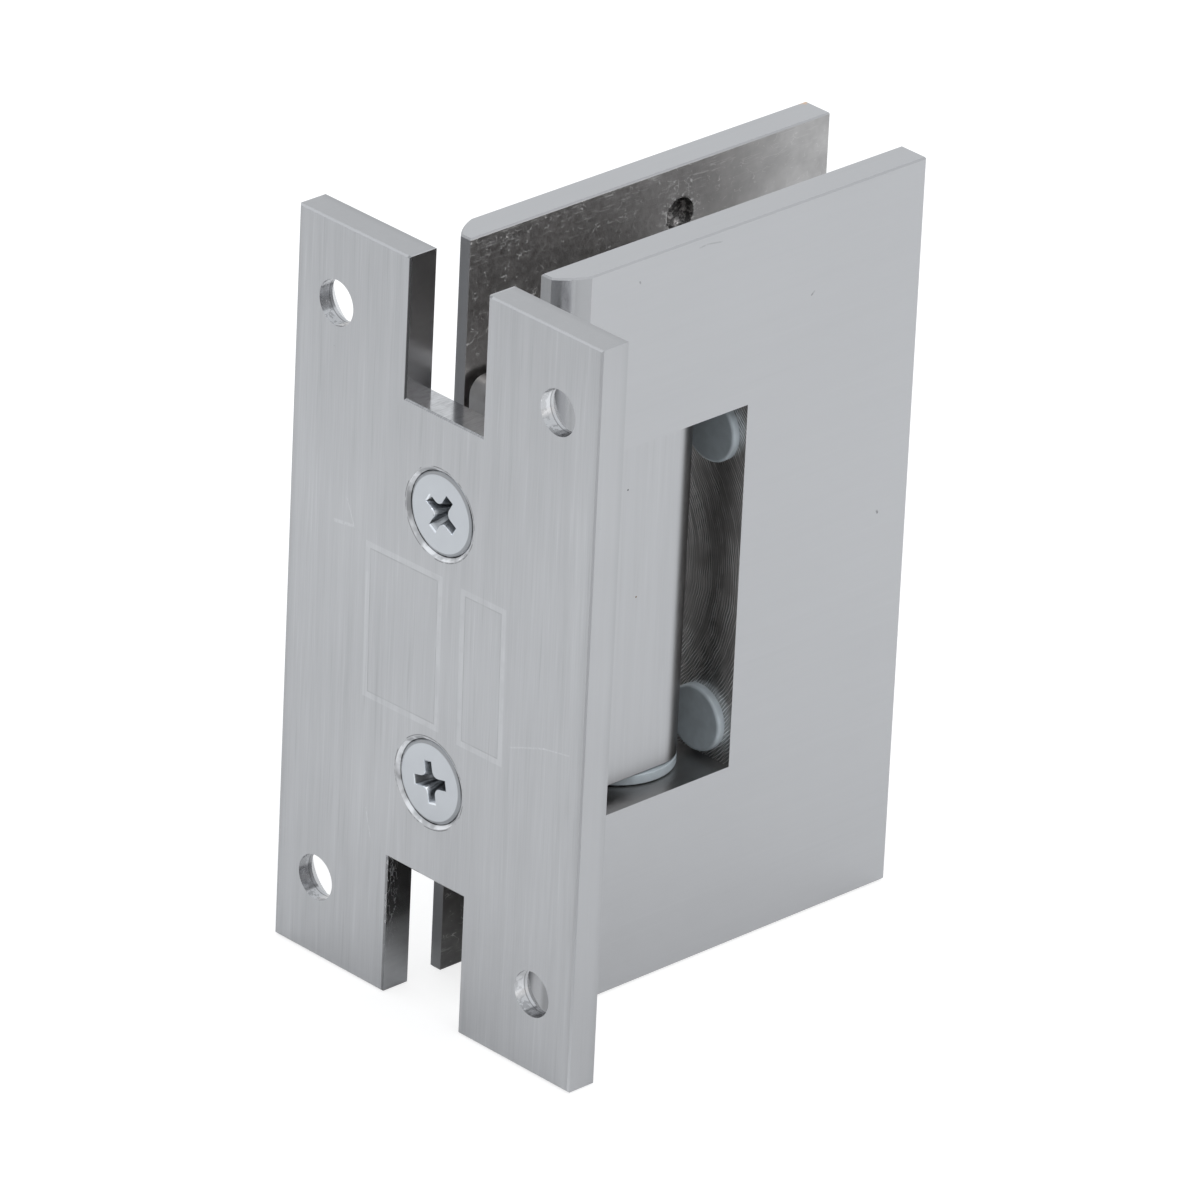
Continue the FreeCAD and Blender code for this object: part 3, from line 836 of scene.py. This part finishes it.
def clamp_satin_colour(tree, place, x, facing, bevel, grain_tone):
    clouds = calc(tree, "SUBTRACT", noise(tree, place, CLAMP_CLOUD_SCALE), 0.5)
    tone = total(tree, product(tree, grain_tone, CLAMP_GRAIN), product(tree, clouds, CLAMP_CLOUDS))
    for start, end, width, shade in MARKS:
        tone = total(tree, tone, product(tree, scratch_mask(tree, place, start, end, width), -shade))
    pits = largest(tree, *(speck_mask(tree, place, *pit) for pit in CLAMP_PITS))
    # Painted shade on the land beside the bevel, and a painted reflection on the bevel.
    painted_land_shade = product(tree, ramp(tree, x, LAND_X + 0.1, LAND_X), ramp(tree, facing["X"], *SQUARE_ON))
    level = total(
        tree, 1.0, tone,
        product(tree, pits, -CLAMP_PIT_SHADE),
        product(tree, painted_land_shade, -LAND_SHADE),
        product(tree, bevel, bevel_painted_reflection(tree, x)))
    to_corner = vector_calc(tree, "LENGTH", vector_calc(tree, "SUBTRACT", place, WORN_CORNER), output="Value")
    worn = ramp(tree, total(tree, to_corner, noise(tree, place, 2.0)), *WORN_REACH, 0.0, WORN_STRENGTH)
    return blend(tree, worn, tint(tree, NICKEL, level), BARE_BRASS)


# %% [markdown]
# The inner faces lie against the glass and stay raw, with stains and small light marks that
# thicken round the gasket hole and along the rims. The window's walls are raw too, and its end
# wall shows the wide arcs of the end mill that cut the pocket.

# %% Clamp unbrushed faces
INNER_FACE_Y = 5.57
POCKET_END_X = 36.5
POCKET_TOP_Z = 22.13
WIDE_ARC_CENTRE = (36.47, 11.8, -0.4)
FLAT_ARC_CENTRE = (36.47, 21.0, 0.8)
ARC_LIGHT = 1.9
FLAT_ARC_PART = 0.7
WINDOW_LEVEL = 0.8
END_WALL_LEVEL = 0.95
STAIN_LEVELS = (0.3, 0.6)
INNER_LENGTH = (10.0, 58.0)
INNER_LEVELS = (1.35, 0.88)
INNER_FOOT = (-40.0, -5.0)
INNER_FOOT_LEVELS = (0.48, 1.0)
GASKET_HOLE = (39.61, 38.5)
GASKET_HOLE_RADIUS = 2.0
GASKET_BURRS = (3.6, 2.4)
TORN_NOISE = (1.8, 4.0, 0.7)
TORN_LEVELS = (0.5, 1.7)
RUB_STRETCH = (0.35, 1.0, 3.6)
RUB_NOISE = (1.2, 4.0, 0.7)
RIM_PART = (38.0, 43.5)
RIM_RUB_STRENGTH = 0.6
MARKED_LENGTH = (40.0, 58.0)
LIGHT_MARK = (0.85, 0.84, 0.83, 1.0)
MARK_STRENGTH = 0.8


def window_mask(tree, x, z, facing):
    """1 on the window's walls, up to the bevel."""
    height = ramp(tree, size_of(tree, z), POCKET_TOP_Z + 0.05, POCKET_TOP_Z)
    depth = product(tree, ramp(tree, x, POCKET_END_X + 0.05, POCKET_END_X),
                    ramp(tree, x, BEVEL_END_X, BEVEL_END_X + 0.1))
    return product(tree, height, depth, ramp(tree, facing["Y"], 0.95, 0.85))


def gasket_masks(tree, x, y, z, torn):
    """Masks of the gasket holes' walls and of the burrs round their mouths."""
    to_hole = ring_distance(tree, x, z, *GASKET_HOLE)
    bore = product(tree, ramp(tree, to_hole, GASKET_HOLE_RADIUS + 0.2, GASKET_HOLE_RADIUS + 0.1),
                   ramp(tree, size_of(tree, y), INNER_FACE_Y + 2.0, INNER_FACE_Y + 1.9))
    return bore, product(tree, ramp(tree, to_hole, *GASKET_BURRS), ramp(tree, torn, 0.53, 0.6))


def inner_marks(tree, place, x, z, raw_marks, burrs):
    """Light marks on the inner face, fewer towards the door's side."""
    rubs = ramp(tree, stretched_noise(tree, place, RUB_STRETCH, *RUB_NOISE), 0.56, 0.66)
    along_rims = product(tree, rubs, ramp(tree, size_of(tree, z), *RIM_PART), RIM_RUB_STRENGTH)
    fewer = ramp(tree, x, *MARKED_LENGTH, 1.0, 0.3)
    return product(tree, largest(tree, raw_marks, burrs, along_rims), fewer)


def inner_level(tree, x, z):
    """The inner face darkens away from the wall plate and towards its foot."""
    away = ramp(tree, x, *INNER_LENGTH, *INNER_LEVELS)
    return product(tree, away, ramp(tree, z, *INNER_FOOT, *INNER_FOOT_LEVELS))


# %% [markdown]
# Both clamp plates get the same finish, turned inside out: the sign says on which side the
# glass lies.

# %% Clamp finish
WIDE_ARC_PITCH = 0.34
FLAT_ARC_PITCH = 0.3
BEVEL_ROUGHNESS = 0.2
MARK_ROUGHNESS = 0.75
RAW_ROUGHNESS = (0.29, 0.37)
CLAMP_BUMP = 0.1


def make_clamp_finish(name, inside_sign):
    material, tree, shader, place = start_metal(name, SATIN_ROUGHNESS)
    x, y, z = split(tree, place)
    facing = face_direction(tree)
    grain = use_group(tree, brushed_grain, {"Vector": place})
    raw = use_group(tree, raw_skin, {"Vector": place})
    wide = {"Vector": place, "Centre": WIDE_ARC_CENTRE, "Pitch": WIDE_ARC_PITCH}
    flat = {"Vector": place, "Centre": FLAT_ARC_CENTRE, "Pitch": FLAT_ARC_PITCH}
    wide_arcs = use_group(tree, cutter_marks, wide)
    flat_arcs = use_group(tree, cutter_marks, flat)
    bevel = product(tree, ramp(tree, x, BEVEL_END_X + 0.1, BEVEL_END_X), ramp(tree, facing["Z"], 0.3, 0.1),
                    ramp(tree, facing["Y"], 0.62, 0.75))
    satin_colour = clamp_satin_colour(tree, place, x, facing, bevel, grain["Tone"])
    torn = noise(tree, place, *TORN_NOISE)
    beyond = ramp(tree, product(tree, y, inside_sign), -INNER_FACE_Y - 0.03, -INNER_FACE_Y)
    inner = product(tree, beyond, ramp(tree, facing["Y"], *HALF_TURNED))
    window = window_mask(tree, x, z, facing)
    end_wall = product(tree, window, ramp(tree, facing["X"], *HALF_TURNED))
    gasket_bore, burrs = gasket_masks(tree, x, y, z, torn)
    unbrushed = largest(tree, beyond, window, gasket_bore)
    window_level = ramp(tree, end_wall, 0, 1, WINDOW_LEVEL, END_WALL_LEVEL)
    arcs = total(tree, wide_arcs["Tone"], product(tree, flat_arcs["Tone"], FLAT_ARC_PART))
    level = total(
        tree, pick(tree, inner, window_level, inner_level(tree, x, z)),
        product(tree, raw["Tone"], ramp(tree, inner, 0, 1, *STAIN_LEVELS)),
        product(tree, arcs, end_wall, ARC_LIGHT))
    level = product(tree, level, pick(tree, gasket_bore, 1.0, ramp(tree, torn, 0.46, 0.6, *TORN_LEVELS)))
    marks = product(tree, inner, inner_marks(tree, place, x, z, raw["Marks"], burrs))
    raw_colour = blend(tree, product(tree, marks, MARK_STRENGTH), tint(tree, RAW_NICKEL, level), LIGHT_MARK)
    tree.links.new(blend(tree, unbrushed, satin_colour, raw_colour), shader.inputs["Base Color"])
    edges = product(tree, edge_mask(tree, facing), outside(tree, bevel))
    satin_roughness = ramp(tree, edges, 0, 1, SATIN_ROUGHNESS, EDGE_ROUGHNESS)
    satin_roughness = pick(tree, bevel, satin_roughness, BEVEL_ROUGHNESS)
    raw_roughness = ramp(tree, raw["Height"], 0.3, 0.7, *RAW_ROUGHNESS)
    raw_roughness = pick(tree, marks, raw_roughness, MARK_ROUGHNESS)
    tree.links.new(pick(tree, unbrushed, satin_roughness, raw_roughness), shader.inputs["Roughness"])
    bump(tree, shader, pick(tree, end_wall, grain["Height"], wide_arcs["Height"]), CLAMP_BUMP)
    return material


clamp_finish = make_clamp_finish("clamp_body_satin", 1.0)
cover_finish = make_clamp_finish("cover_plate_satin", -1.0)

# %% [markdown]
# The pivot block is a piece of the same brass, brushed up and down. Its ends and its rounded
# back are set much darker and stained, and its front carries a brown and a dark speck.

# %% Block finish
BLOCK_GRAIN = 0.2
BLOCK_PITS = (5.0, 0.12)
BLOCK_PIT_SHADE = 0.3
BLOCK_BACK = (29.5, 31.0)
BLOCK_END_LEVEL = 0.48
BLOCK_END_STAINS = 0.2
BROWN_SPECK = (0.17, 0.10, 0.04, 1.0)
DARK_SPECK = (0.08, 0.08, 0.08, 1.0)
BLOCK_SPECKS = [((23.82, -6.5, 1.53), BROWN_SPECK), ((21.8, -6.5, 15.08), DARK_SPECK)]
BLOCK_SPECK_RADIUS = 0.14
BLOCK_BUMP = 0.1


def make_block_finish():
    material, tree, shader, place = start_metal("pivot_block_satin", SATIN_ROUGHNESS)
    x, y, z = split(tree, place)
    facing = face_direction(tree)
    grain = use_group(tree, brushed_grain, {"Vector": join(tree, z, x, y)})
    pits = speck_mask(tree, place, *BLOCK_PITS)
    level = total(tree, 1.0, product(tree, grain["Tone"], BLOCK_GRAIN), product(tree, pits, -BLOCK_PIT_SHADE))
    satin_colour = tint(tree, NICKEL, level)
    for centre, colour in BLOCK_SPECKS:
        distance = vector_calc(tree, "LENGTH", vector_calc(tree, "SUBTRACT", place, centre), output="Value")
        speck = ramp(tree, distance, BLOCK_SPECK_RADIUS, BLOCK_SPECK_RADIUS / 2)
        satin_colour = blend(tree, speck, satin_colour, colour)
    raw_tone = use_group(tree, raw_skin, {"Vector": place})["Tone"]
    # The ends and the back are set at about half the nickel's level, with stains.
    raw_colour = tint(tree, RAW_NICKEL, total(tree, BLOCK_END_LEVEL, product(tree, raw_tone, BLOCK_END_STAINS)))
    unbrushed = largest(tree, ramp(tree, facing["Z"], *HALF_TURNED), ramp(tree, x, *BLOCK_BACK))
    tree.links.new(blend(tree, unbrushed, satin_colour, raw_colour), shader.inputs["Base Color"])
    bump(tree, shader, grain["Height"], BLOCK_BUMP)
    return material


block_finish = make_block_finish()

# %% [markdown]
# The other metals are simpler: turned or rolled stock with one coating. One function makes
# them, with the direction in which each is grained.

# %% Plain metals
STOCK_CLOUDS = (0.5, 3.0)
CLOUD_RANGE = 0.2
STOCK_SPREAD = 0.2


def vary_roughness(tree, shader, clouds, roughness, spread):
    """Lets the roughness drift by a share of itself, as slow clouds do."""
    level = ramp(tree, clouds, -CLOUD_RANGE, CLOUD_RANGE, roughness * (1 - spread), roughness * (1 + spread))
    tree.links.new(level, shader.inputs["Roughness"])


def make_stock(name, colour, roughness, variation, order, bump_strength):
    """A grained metal. The order says which coordinate runs along the grain."""
    material, tree, shader, place = start_metal(name, roughness)
    parts = split(tree, place)
    grain = use_group(tree, brushed_grain, {"Vector": join(tree, *(parts[axis] for axis in order))})
    clouds = calc(tree, "SUBTRACT", noise(tree, place, *STOCK_CLOUDS), 0.5)
    tone = product(tree, total(tree, grain["Tone"], clouds), variation)
    tree.links.new(tint(tree, colour, total(tree, 1.0, tone)), shader.inputs["Base Color"])
    vary_roughness(tree, shader, clouds, roughness, STOCK_SPREAD)
    bump(tree, shader, grain["Height"], bump_strength)
    return material


black_oxide = make_stock("black_oxide", (0.045, 0.046, 0.05, 1), 0.38, 0.8, "YXZ", 0.2)
ground_steel = make_stock("ground_steel", (0.55, 0.55, 0.55, 1), 0.2, 0.2, "XYZ", 0.1)
spring_steel = make_stock("spring_steel", (0.25, 0.26, 0.30, 1), 0.38, 0.5, "ZYX", 0.1)

# %% [markdown]
# Zinc plating is bright and a little blue on the level face of a screw head. The rounded
# border and the punched recess get painted shade, and the recess's lip a painted highlight.

# %% Screw head finish
ZINC = (0.545, 0.562, 0.585, 1.0)
ZINC_ROUGHNESS = 0.23
ZINC_SPREAD = 0.1
HEAD_FLAT_RADIUS = 4.42
HEAD_CLOUDS = 0.12
HEAD_PITS = (1.6, 0.07)
HEAD_PIT_SHADE = 0.15
HEAD_BORDER_SHADE = 0.42
RECESS_REACH = 4.0
RECESS_SHADE = 0.35
LIP_HIGHLIGHT = 0.6
SCREW_FACE_X = 0.15
HEAD_BUMP = 0.06


def make_head_finish():
    material, tree, shader, place = start_metal("bright_zinc", ZINC_ROUGHNESS)
    x, y, z = split(tree, place)
    clouds = calc(tree, "SUBTRACT", noise(tree, place, *STOCK_CLOUDS), 0.5)
    pits = speck_mask(tree, place, *HEAD_PITS)
    to_axis = ring_distance(tree, y, z, 0.0, SCREW_Z)
    # Painted shade on the rounded border and deep in the recess, and a painted highlight on the lip.
    border = ramp(tree, to_axis, HEAD_FLAT_RADIUS, HEAD_FLAT_RADIUS + 0.1, 0.0, -HEAD_BORDER_SHADE)
    inside = ramp(tree, to_axis, RECESS_REACH, RECESS_REACH - 0.1)
    slanted = ramp(tree, face_direction(tree)["X"], 0.97, 0.9)
    painted_lip_highlight = product(tree, slanted, ramp(tree, x, SCREW_FACE_X + 0.15, SCREW_FACE_X + 0.1), LIP_HIGHLIGHT)
    recess = ramp(tree, x, SCREW_FACE_X + 0.15, SCREW_FACE_X + 0.6, 0.0, -RECESS_SHADE)
    level = total(
        tree, 1.0, border,
        product(tree, clouds, HEAD_CLOUDS),
        product(tree, pits, -HEAD_PIT_SHADE),
        product(tree, inside, total(tree, painted_lip_highlight, recess)))
    tree.links.new(tint(tree, ZINC, level), shader.inputs["Base Color"])
    vary_roughness(tree, shader, clouds, ZINC_ROUGHNESS, ZINC_SPREAD)
    bump(tree, shader, noise(tree, place, 1.5), HEAD_BUMP)
    return material


zinc = make_head_finish()

# %% [markdown]
# Two plastics remain. Acetal is milky and waxy. The nylon of pads and washers lets light
# through: over dark metal it looks blue-grey, and its thin rim looks lighter than its face.

# %% Plastics
PLASTIC_FLOW = (0.7, 3.0)
PLASTIC_LEVELS = (0.93, 1.05)
PLASTIC_IOR = 1.53
PLASTIC_BUMP = 0.1


def make_plastic(name, colour, roughness, transmission):
    material, tree, shader, place = start_metal(name, roughness, metallic=0.0)
    flow = noise(tree, place, *PLASTIC_FLOW)
    level = ramp(tree, flow, 0.3, 0.7, *PLASTIC_LEVELS)
    tree.links.new(tint(tree, colour, level), shader.inputs["Base Color"])
    tree.links.new(ramp(tree, flow, 0.3, 0.7, roughness, roughness * 1.2), shader.inputs["Roughness"])
    shader.inputs["Transmission Weight"].default_value = transmission
    shader.inputs["IOR"].default_value = PLASTIC_IOR
    bump(tree, shader, noise(tree, place, 1.2), PLASTIC_BUMP)
    return material


acetal = make_plastic("acetal", (0.78, 0.78, 0.75, 1), 0.45, 0.0)
nylon = make_plastic("clear_nylon", (0.50, 0.555, 0.59, 1), 0.3, 0.15)

# %% [markdown]
# Every solid takes one finish, chosen by its name. The large pieces are listed one by one, and
# a word in the name is enough for the small ones.

# %% Finishes onto the solids
FINISHES = {
    "wall_plate": wall_finish, "pivot_block": block_finish, "clamp_body": clamp_finish,
    "cover_plate": cover_finish, "pivot_pin": ground_steel, "follower_bar": acetal,
}
for name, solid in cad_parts.items():
    if name in FINISHES:
        finish = FINISHES[name]
    elif "leaf_spring" in name:
        finish = spring_steel
    elif "sleeve" in name:
        finish = acetal
    elif "bumper" in name or "washer" in name:
        finish = nylon
    elif "block_screw" in name:
        finish = zinc
    else:
        finish = black_oxide
    solid.data.materials.clear()
    solid.data.materials.append(finish)
    print(name, "takes", finish.name)

# %% [markdown]
# The small turned pieces are made again in finer meshes. A profile of radius and height is
# spun about the Z axis, which is how a lathe makes it.

# %% Turned pieces
SPIN_STEPS = 96
MERGE_DISTANCE = 0.0005 * MM
SHARP_ANGLE = math.radians(32)
THREAD_STEPS = 24
THREAD_FLANK = 0.46
THREAD_ROOT = 0.1


def arc(centre_radius, centre_height, radius, start, end, steps=5):
    """Points of a rounded corner in a profile, from one angle to another."""
    points = []
    for step in range(steps + 1):
        angle = math.radians(start + (end - start) * step / steps)
        points.append((centre_radius + radius * math.cos(angle), centre_height + radius * math.sin(angle)))
    return points


def lathe(profile):
    shape = bmesh.new()
    points = [shape.verts.new((radius * MM, 0, height * MM)) for radius, height in profile]
    edges = [shape.edges.new(pair) for pair in zip(points, points[1:])]
    bmesh.ops.spin(shape, geom=points + edges, axis=(0, 0, 1), cent=(0, 0, 0),
                   steps=SPIN_STEPS, angle=2 * math.pi, use_merge=True)
    bmesh.ops.remove_doubles(shape, verts=shape.verts, dist=MERGE_DISTANCE)
    bmesh.ops.recalc_face_normals(shape, faces=shape.faces)
    return shape


def add_thread(shape, core_radius, outer_radius, pitch, top, bottom):
    """Adds a helical ridge around a core, closed at both ends."""
    turns = (top - bottom - pitch) / pitch
    steps = round(THREAD_STEPS * turns)
    start = bottom + pitch / 2
    flank = pitch * THREAD_FLANK
    root = core_radius - THREAD_ROOT
    section = [(root, start - flank), (outer_radius, start), (root, start + flank)]
    points = [shape.verts.new((radius * MM, 0, height * MM)) for radius, height in section]
    cap = shape.faces.new(points)
    bmesh.ops.spin(shape, geom=[cap] + list(cap.edges) + points, axis=(0, 0, 1), cent=(0, 0, 0), steps=steps,
                   angle=2 * math.pi * turns, dvec=(0, 0, pitch * MM * turns / steps))
    bmesh.ops.recalc_face_normals(shape, faces=shape.faces)


def stand(shape, axis, place, turn=0.0):
    """Turns a shape made about Z onto another axis and moves it to its place."""
    lean = Vector((0, 0, 1)).rotation_difference(Vector(axis)).to_matrix().to_4x4()
    matrix = Matrix.Translation(Vector(place) * MM) @ lean @ Matrix.Rotation(math.radians(turn), 4, "Z")
    bmesh.ops.transform(shape, matrix=matrix, verts=shape.verts)


def make_object(shape, name):
    mesh = bpy.data.meshes.new(name)
    shape.to_mesh(mesh)
    shape.free()
    piece = bpy.data.objects.new(name, mesh)
    bpy.context.collection.objects.link(piece)
    return piece


def carve(piece, cutter):
    """Cuts one object out of another and leaves the result as a plain mesh."""
    cut = piece.modifiers.new("recess", "BOOLEAN")
    cut.operation = "DIFFERENCE"
    cut.solver = "EXACT"
    cut.object = cutter
    bpy.context.view_layer.update()
    whole = piece.evaluated_get(bpy.context.evaluated_depsgraph_get())
    carved = bpy.data.meshes.new_from_object(whole)
    piece.modifiers.clear()
    piece.data = carved
    bpy.data.objects.remove(cutter)


def settle(piece, node, body, finish):
    """Shades a piece, gives it its finish and lets it stand for a solid."""
    piece.data.shade_smooth()
    piece.data.set_sharp_from_angle(angle=SHARP_ANGLE)
    piece.data.materials.clear()
    piece.data.materials.append(finish)
    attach(piece, body)
    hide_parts(node)
    print(piece.name, len(piece.data.polygons), "faces")


# %% [markdown]
# A flat head screw has a level face with a rounded border, and a cone under it that runs down
# to the shank. A profile spun about the axis gives all of that. The thread is a ridge that
# climbs as it is spun.

# %% Screw shape
BORDER_POINTS = ((0.0, 0.0), (0.3, 0.13), (0.6, 0.36), (0.85, 0.68), (1.0, 1.0))
TIP_HEIGHT = 0.6
TIP_TAPER = 0.5


def screw_profile(head_radius, border, border_depth, core_radius, length):
    """Profile of a flat head screw with its face at height 0 and its tip below."""
    rounded = [(head_radius - border * (1 - out), -border_depth * down) for out, down in BORDER_POINTS]
    under_head = border_depth + head_radius - core_radius
    return [(0, 0)] + rounded + [
        (core_radius, -under_head),
        (core_radius, -length + TIP_HEIGHT),
        (core_radius - TIP_TAPER, -length),
        (0, -length),
    ]


# %% [markdown]
# The cross recess has arms with flat ends and well rounded inner corners, and narrows as it
# goes down. The punch leaves a small slanted lip round the mouth, which the head's finish
# gives a painted highlight.

# %% Block screws
HEAD_RADIUS = 4.9
HEAD_BORDER = 0.46
HEAD_BORDER_DEPTH = 0.28
SCREW_LENGTH = 19.0
SCREW_RADIUS = 2.41
SCREW_CORE = 1.95
SCREW_PITCH = 1.06
SCREW_THREAD_TOP = -4.2
SCREW_THREAD_BOTTOM = -18.5
CROSS_REACH = 2.5
CROSS_ARM = 0.6
CROSS_FILLET = 0.8
CROSS_FILLET_STEPS = 5
ALMOST_EQUAL = 0.01 * MM
CROSS_LEVELS = ((0.1, 1.08), (-0.1, 0.96), (-2.5, 0.42))


def make_cross_cutter():
    """A cross that narrows downwards, given as heights and sizes, the top one above the face."""
    shape = bmesh.new()
    outline = []
    for quarter in range(4):
        turn = Matrix.Rotation(math.radians(90 * quarter), 3, "Z")
        for point in ((CROSS_REACH, CROSS_ARM, 0), (CROSS_ARM, CROSS_ARM, 0), (CROSS_ARM, CROSS_REACH, 0)):
            outline.append(shape.verts.new(turn @ Vector(point) * MM))
    shape.faces.new(outline)
    inner = [point for point in outline if abs(abs(point.co.x) - abs(point.co.y)) < ALMOST_EQUAL]
    bmesh.ops.bevel(shape, geom=inner, offset=CROSS_FILLET * MM, offset_type="OFFSET",
                    segments=CROSS_FILLET_STEPS, profile=0.5, affect="VERTICES")
    level, size = CROSS_LEVELS[0]
    bmesh.ops.translate(shape, verts=shape.verts, vec=(0, 0, level * MM))
    bmesh.ops.scale(shape, verts=shape.verts, vec=(size, size, 1))
    ring = shape.edges[:]
    for next_level, next_size in CROSS_LEVELS[1:]:
        grown = bmesh.ops.extrude_edge_only(shape, edges=ring)["geom"]
        moved = [item for item in grown if isinstance(item, bmesh.types.BMVert)]
        bmesh.ops.translate(shape, verts=moved, vec=(0, 0, (next_level - level) * MM))
        bmesh.ops.scale(shape, verts=moved, vec=(next_size / size, next_size / size, 1))
        ring = [item for item in grown if isinstance(item, bmesh.types.BMEdge)]
        level, size = next_level, next_size
    bmesh.ops.contextual_create(shape, geom=ring)
    bmesh.ops.recalc_face_normals(shape, faces=shape.faces)
    return shape


def make_block_screw(node, level, turn):
    head = lathe(screw_profile(HEAD_RADIUS, HEAD_BORDER, HEAD_BORDER_DEPTH, SCREW_CORE, SCREW_LENGTH))
    piece = make_object(head, "threaded_" + node)
    carve(piece, make_object(make_cross_cutter(), "cross_cutter"))
    shape = bmesh.new()
    shape.from_mesh(piece.data)
    add_thread(shape, SCREW_CORE, SCREW_RADIUS, SCREW_PITCH, SCREW_THREAD_TOP, SCREW_THREAD_BOTTOM)
    stand(shape, (-1, 0, 0), (SCREW_FACE_X, 0, level), turn)
    shape.to_mesh(piece.data)
    shape.free()
    settle(piece, node, "wall_leaf", zinc)


make_block_screw("upper_block_screw", SCREW_Z, 60.0)
make_block_screw("lower_block_screw", -SCREW_Z, 12.0)

# %% [markdown]
# Screws with a hexagon socket: two that clamp the glass, on the cover plate, and two headless
# ones that lock the pin.

# %% Socket screws
CLAMP_X = 41.97
CLAMP_Z = 23.0
CLAMP_FACE_Y = 9.42
PIN_X = 27.97
SET_SCREW_Z = 25.15
SET_SCREW_TOP_Y = 4.45
SET_SCREW_RADIUS = 1.65
SET_SCREW_LENGTH = 3.45
CLAMP_THREAD = {"core_radius": 2.05, "outer_radius": 2.5, "pitch": 0.8, "top": -3.6, "bottom": -13.6}
SET_THREAD = {"core_radius": 1.65, "outer_radius": 2.0, "pitch": 0.7, "top": -0.1, "bottom": -3.35}
CLAMP_SOCKET = (3.0, 1.8)
SET_SOCKET = (2.0, 1.5)


def make_hex_cutter(width, depth):
    shape = bmesh.new()
    radius = width * MM / math.sqrt(3)
    bmesh.ops.create_cone(shape, cap_ends=True, segments=6, radius1=radius, radius2=radius,
                          depth=2 * depth * MM)
    return shape


def make_socket_screw(node, profile, socket, thread, place):
    piece = make_object(lathe(profile), "threaded_" + node)
    carve(piece, make_object(make_hex_cutter(*socket), "hex_cutter"))
    shape = bmesh.new()
    shape.from_mesh(piece.data)
    add_thread(shape, **thread)
    stand(shape, (0, 1, 0), place)
    shape.to_mesh(piece.data)
    shape.free()
    settle(piece, node, "glass_clamp", black_oxide)


clamp_profile = screw_profile(head_radius=4.6, border=0.2, border_depth=0.2, core_radius=2.05, length=14.0)
set_profile = [
    (0, 0),
    (SET_SCREW_RADIUS - 0.25, 0),
    (SET_SCREW_RADIUS, -0.25),
    (SET_SCREW_RADIUS, -SET_SCREW_LENGTH + 0.3),
    (SET_SCREW_RADIUS - 0.35, -SET_SCREW_LENGTH),
    (0, -SET_SCREW_LENGTH),
]
for side, sign in (("upper", 1), ("lower", -1)):
    clamp_place = (CLAMP_X, CLAMP_FACE_Y, sign * CLAMP_Z)
    set_place = (PIN_X, SET_SCREW_TOP_Y, sign * SET_SCREW_Z)
    make_socket_screw(side + "_clamp_screw", clamp_profile, CLAMP_SOCKET, CLAMP_THREAD, clamp_place)
    make_socket_screw(side + "_set_screw", set_profile, SET_SOCKET, SET_THREAD, set_place)

# %% [markdown]
# Moulded nylon: pads that soften the end of the swing, with a rounded rim and a shallow dish,
# and thrust washers with their corners taken off.

# %% Pads and washers
PAD_FACE_RADIUS = 3.9
PAD_HEIGHT = 1.0
PAD_ROUND = 0.35
PAD_DISH = 0.06
PAD_STEM = 1.5
PAD_STEM_LENGTH = 4.0
PAD_LIP = 0.25
PAD_BASE_X = 36.47
PAD_Y = -4.67
PAD_Z = 17.7
WASHER_OUTER = 6.95
WASHER_BORE = 3.65
WASHER_BOTTOM = 20.8
WASHER_TOP = 22.0
WASHER_ROUND = 0.15


def make_pad(node, level):
    rim = arc(PAD_FACE_RADIUS - PAD_ROUND, PAD_HEIGHT - PAD_ROUND, PAD_ROUND, 0, 90)
    profile = [(0, -PAD_STEM_LENGTH), (PAD_STEM, -PAD_STEM_LENGTH), (PAD_STEM, 0), (PAD_FACE_RADIUS, 0)]
    dish_radius = PAD_FACE_RADIUS - PAD_ROUND - PAD_LIP
    profile += rim + [(dish_radius, PAD_HEIGHT - PAD_DISH), (0, PAD_HEIGHT - PAD_DISH)]
    shape = lathe(profile)
    stand(shape, (-1, 0, 0), (PAD_BASE_X, PAD_Y, level))
    settle(make_object(shape, "moulded_" + node), node, "glass_clamp", nylon)


def make_washer(node, sign):
    low, high = WASHER_BOTTOM, WASHER_TOP
    profile = arc(WASHER_OUTER - WASHER_ROUND, low + WASHER_ROUND, WASHER_ROUND, -90, 0)
    profile += arc(WASHER_OUTER - WASHER_ROUND, high - WASHER_ROUND, WASHER_ROUND, 0, 90)
    profile += arc(WASHER_BORE + WASHER_ROUND, high - WASHER_ROUND, WASHER_ROUND, 90, 180)
    profile += arc(WASHER_BORE + WASHER_ROUND, low + WASHER_ROUND, WASHER_ROUND, 180, 270)
    shape = lathe(profile + profile[:1])
    stand(shape, (0, 0, sign), (PIN_X, 0, 0))
    settle(make_object(shape, "moulded_" + node), node, "wall_leaf", nylon)


make_pad("upper_bumper", PAD_Z)
make_pad("lower_bumper", -PAD_Z)
make_washer("upper_washer", 1)
make_washer("lower_washer", -1)
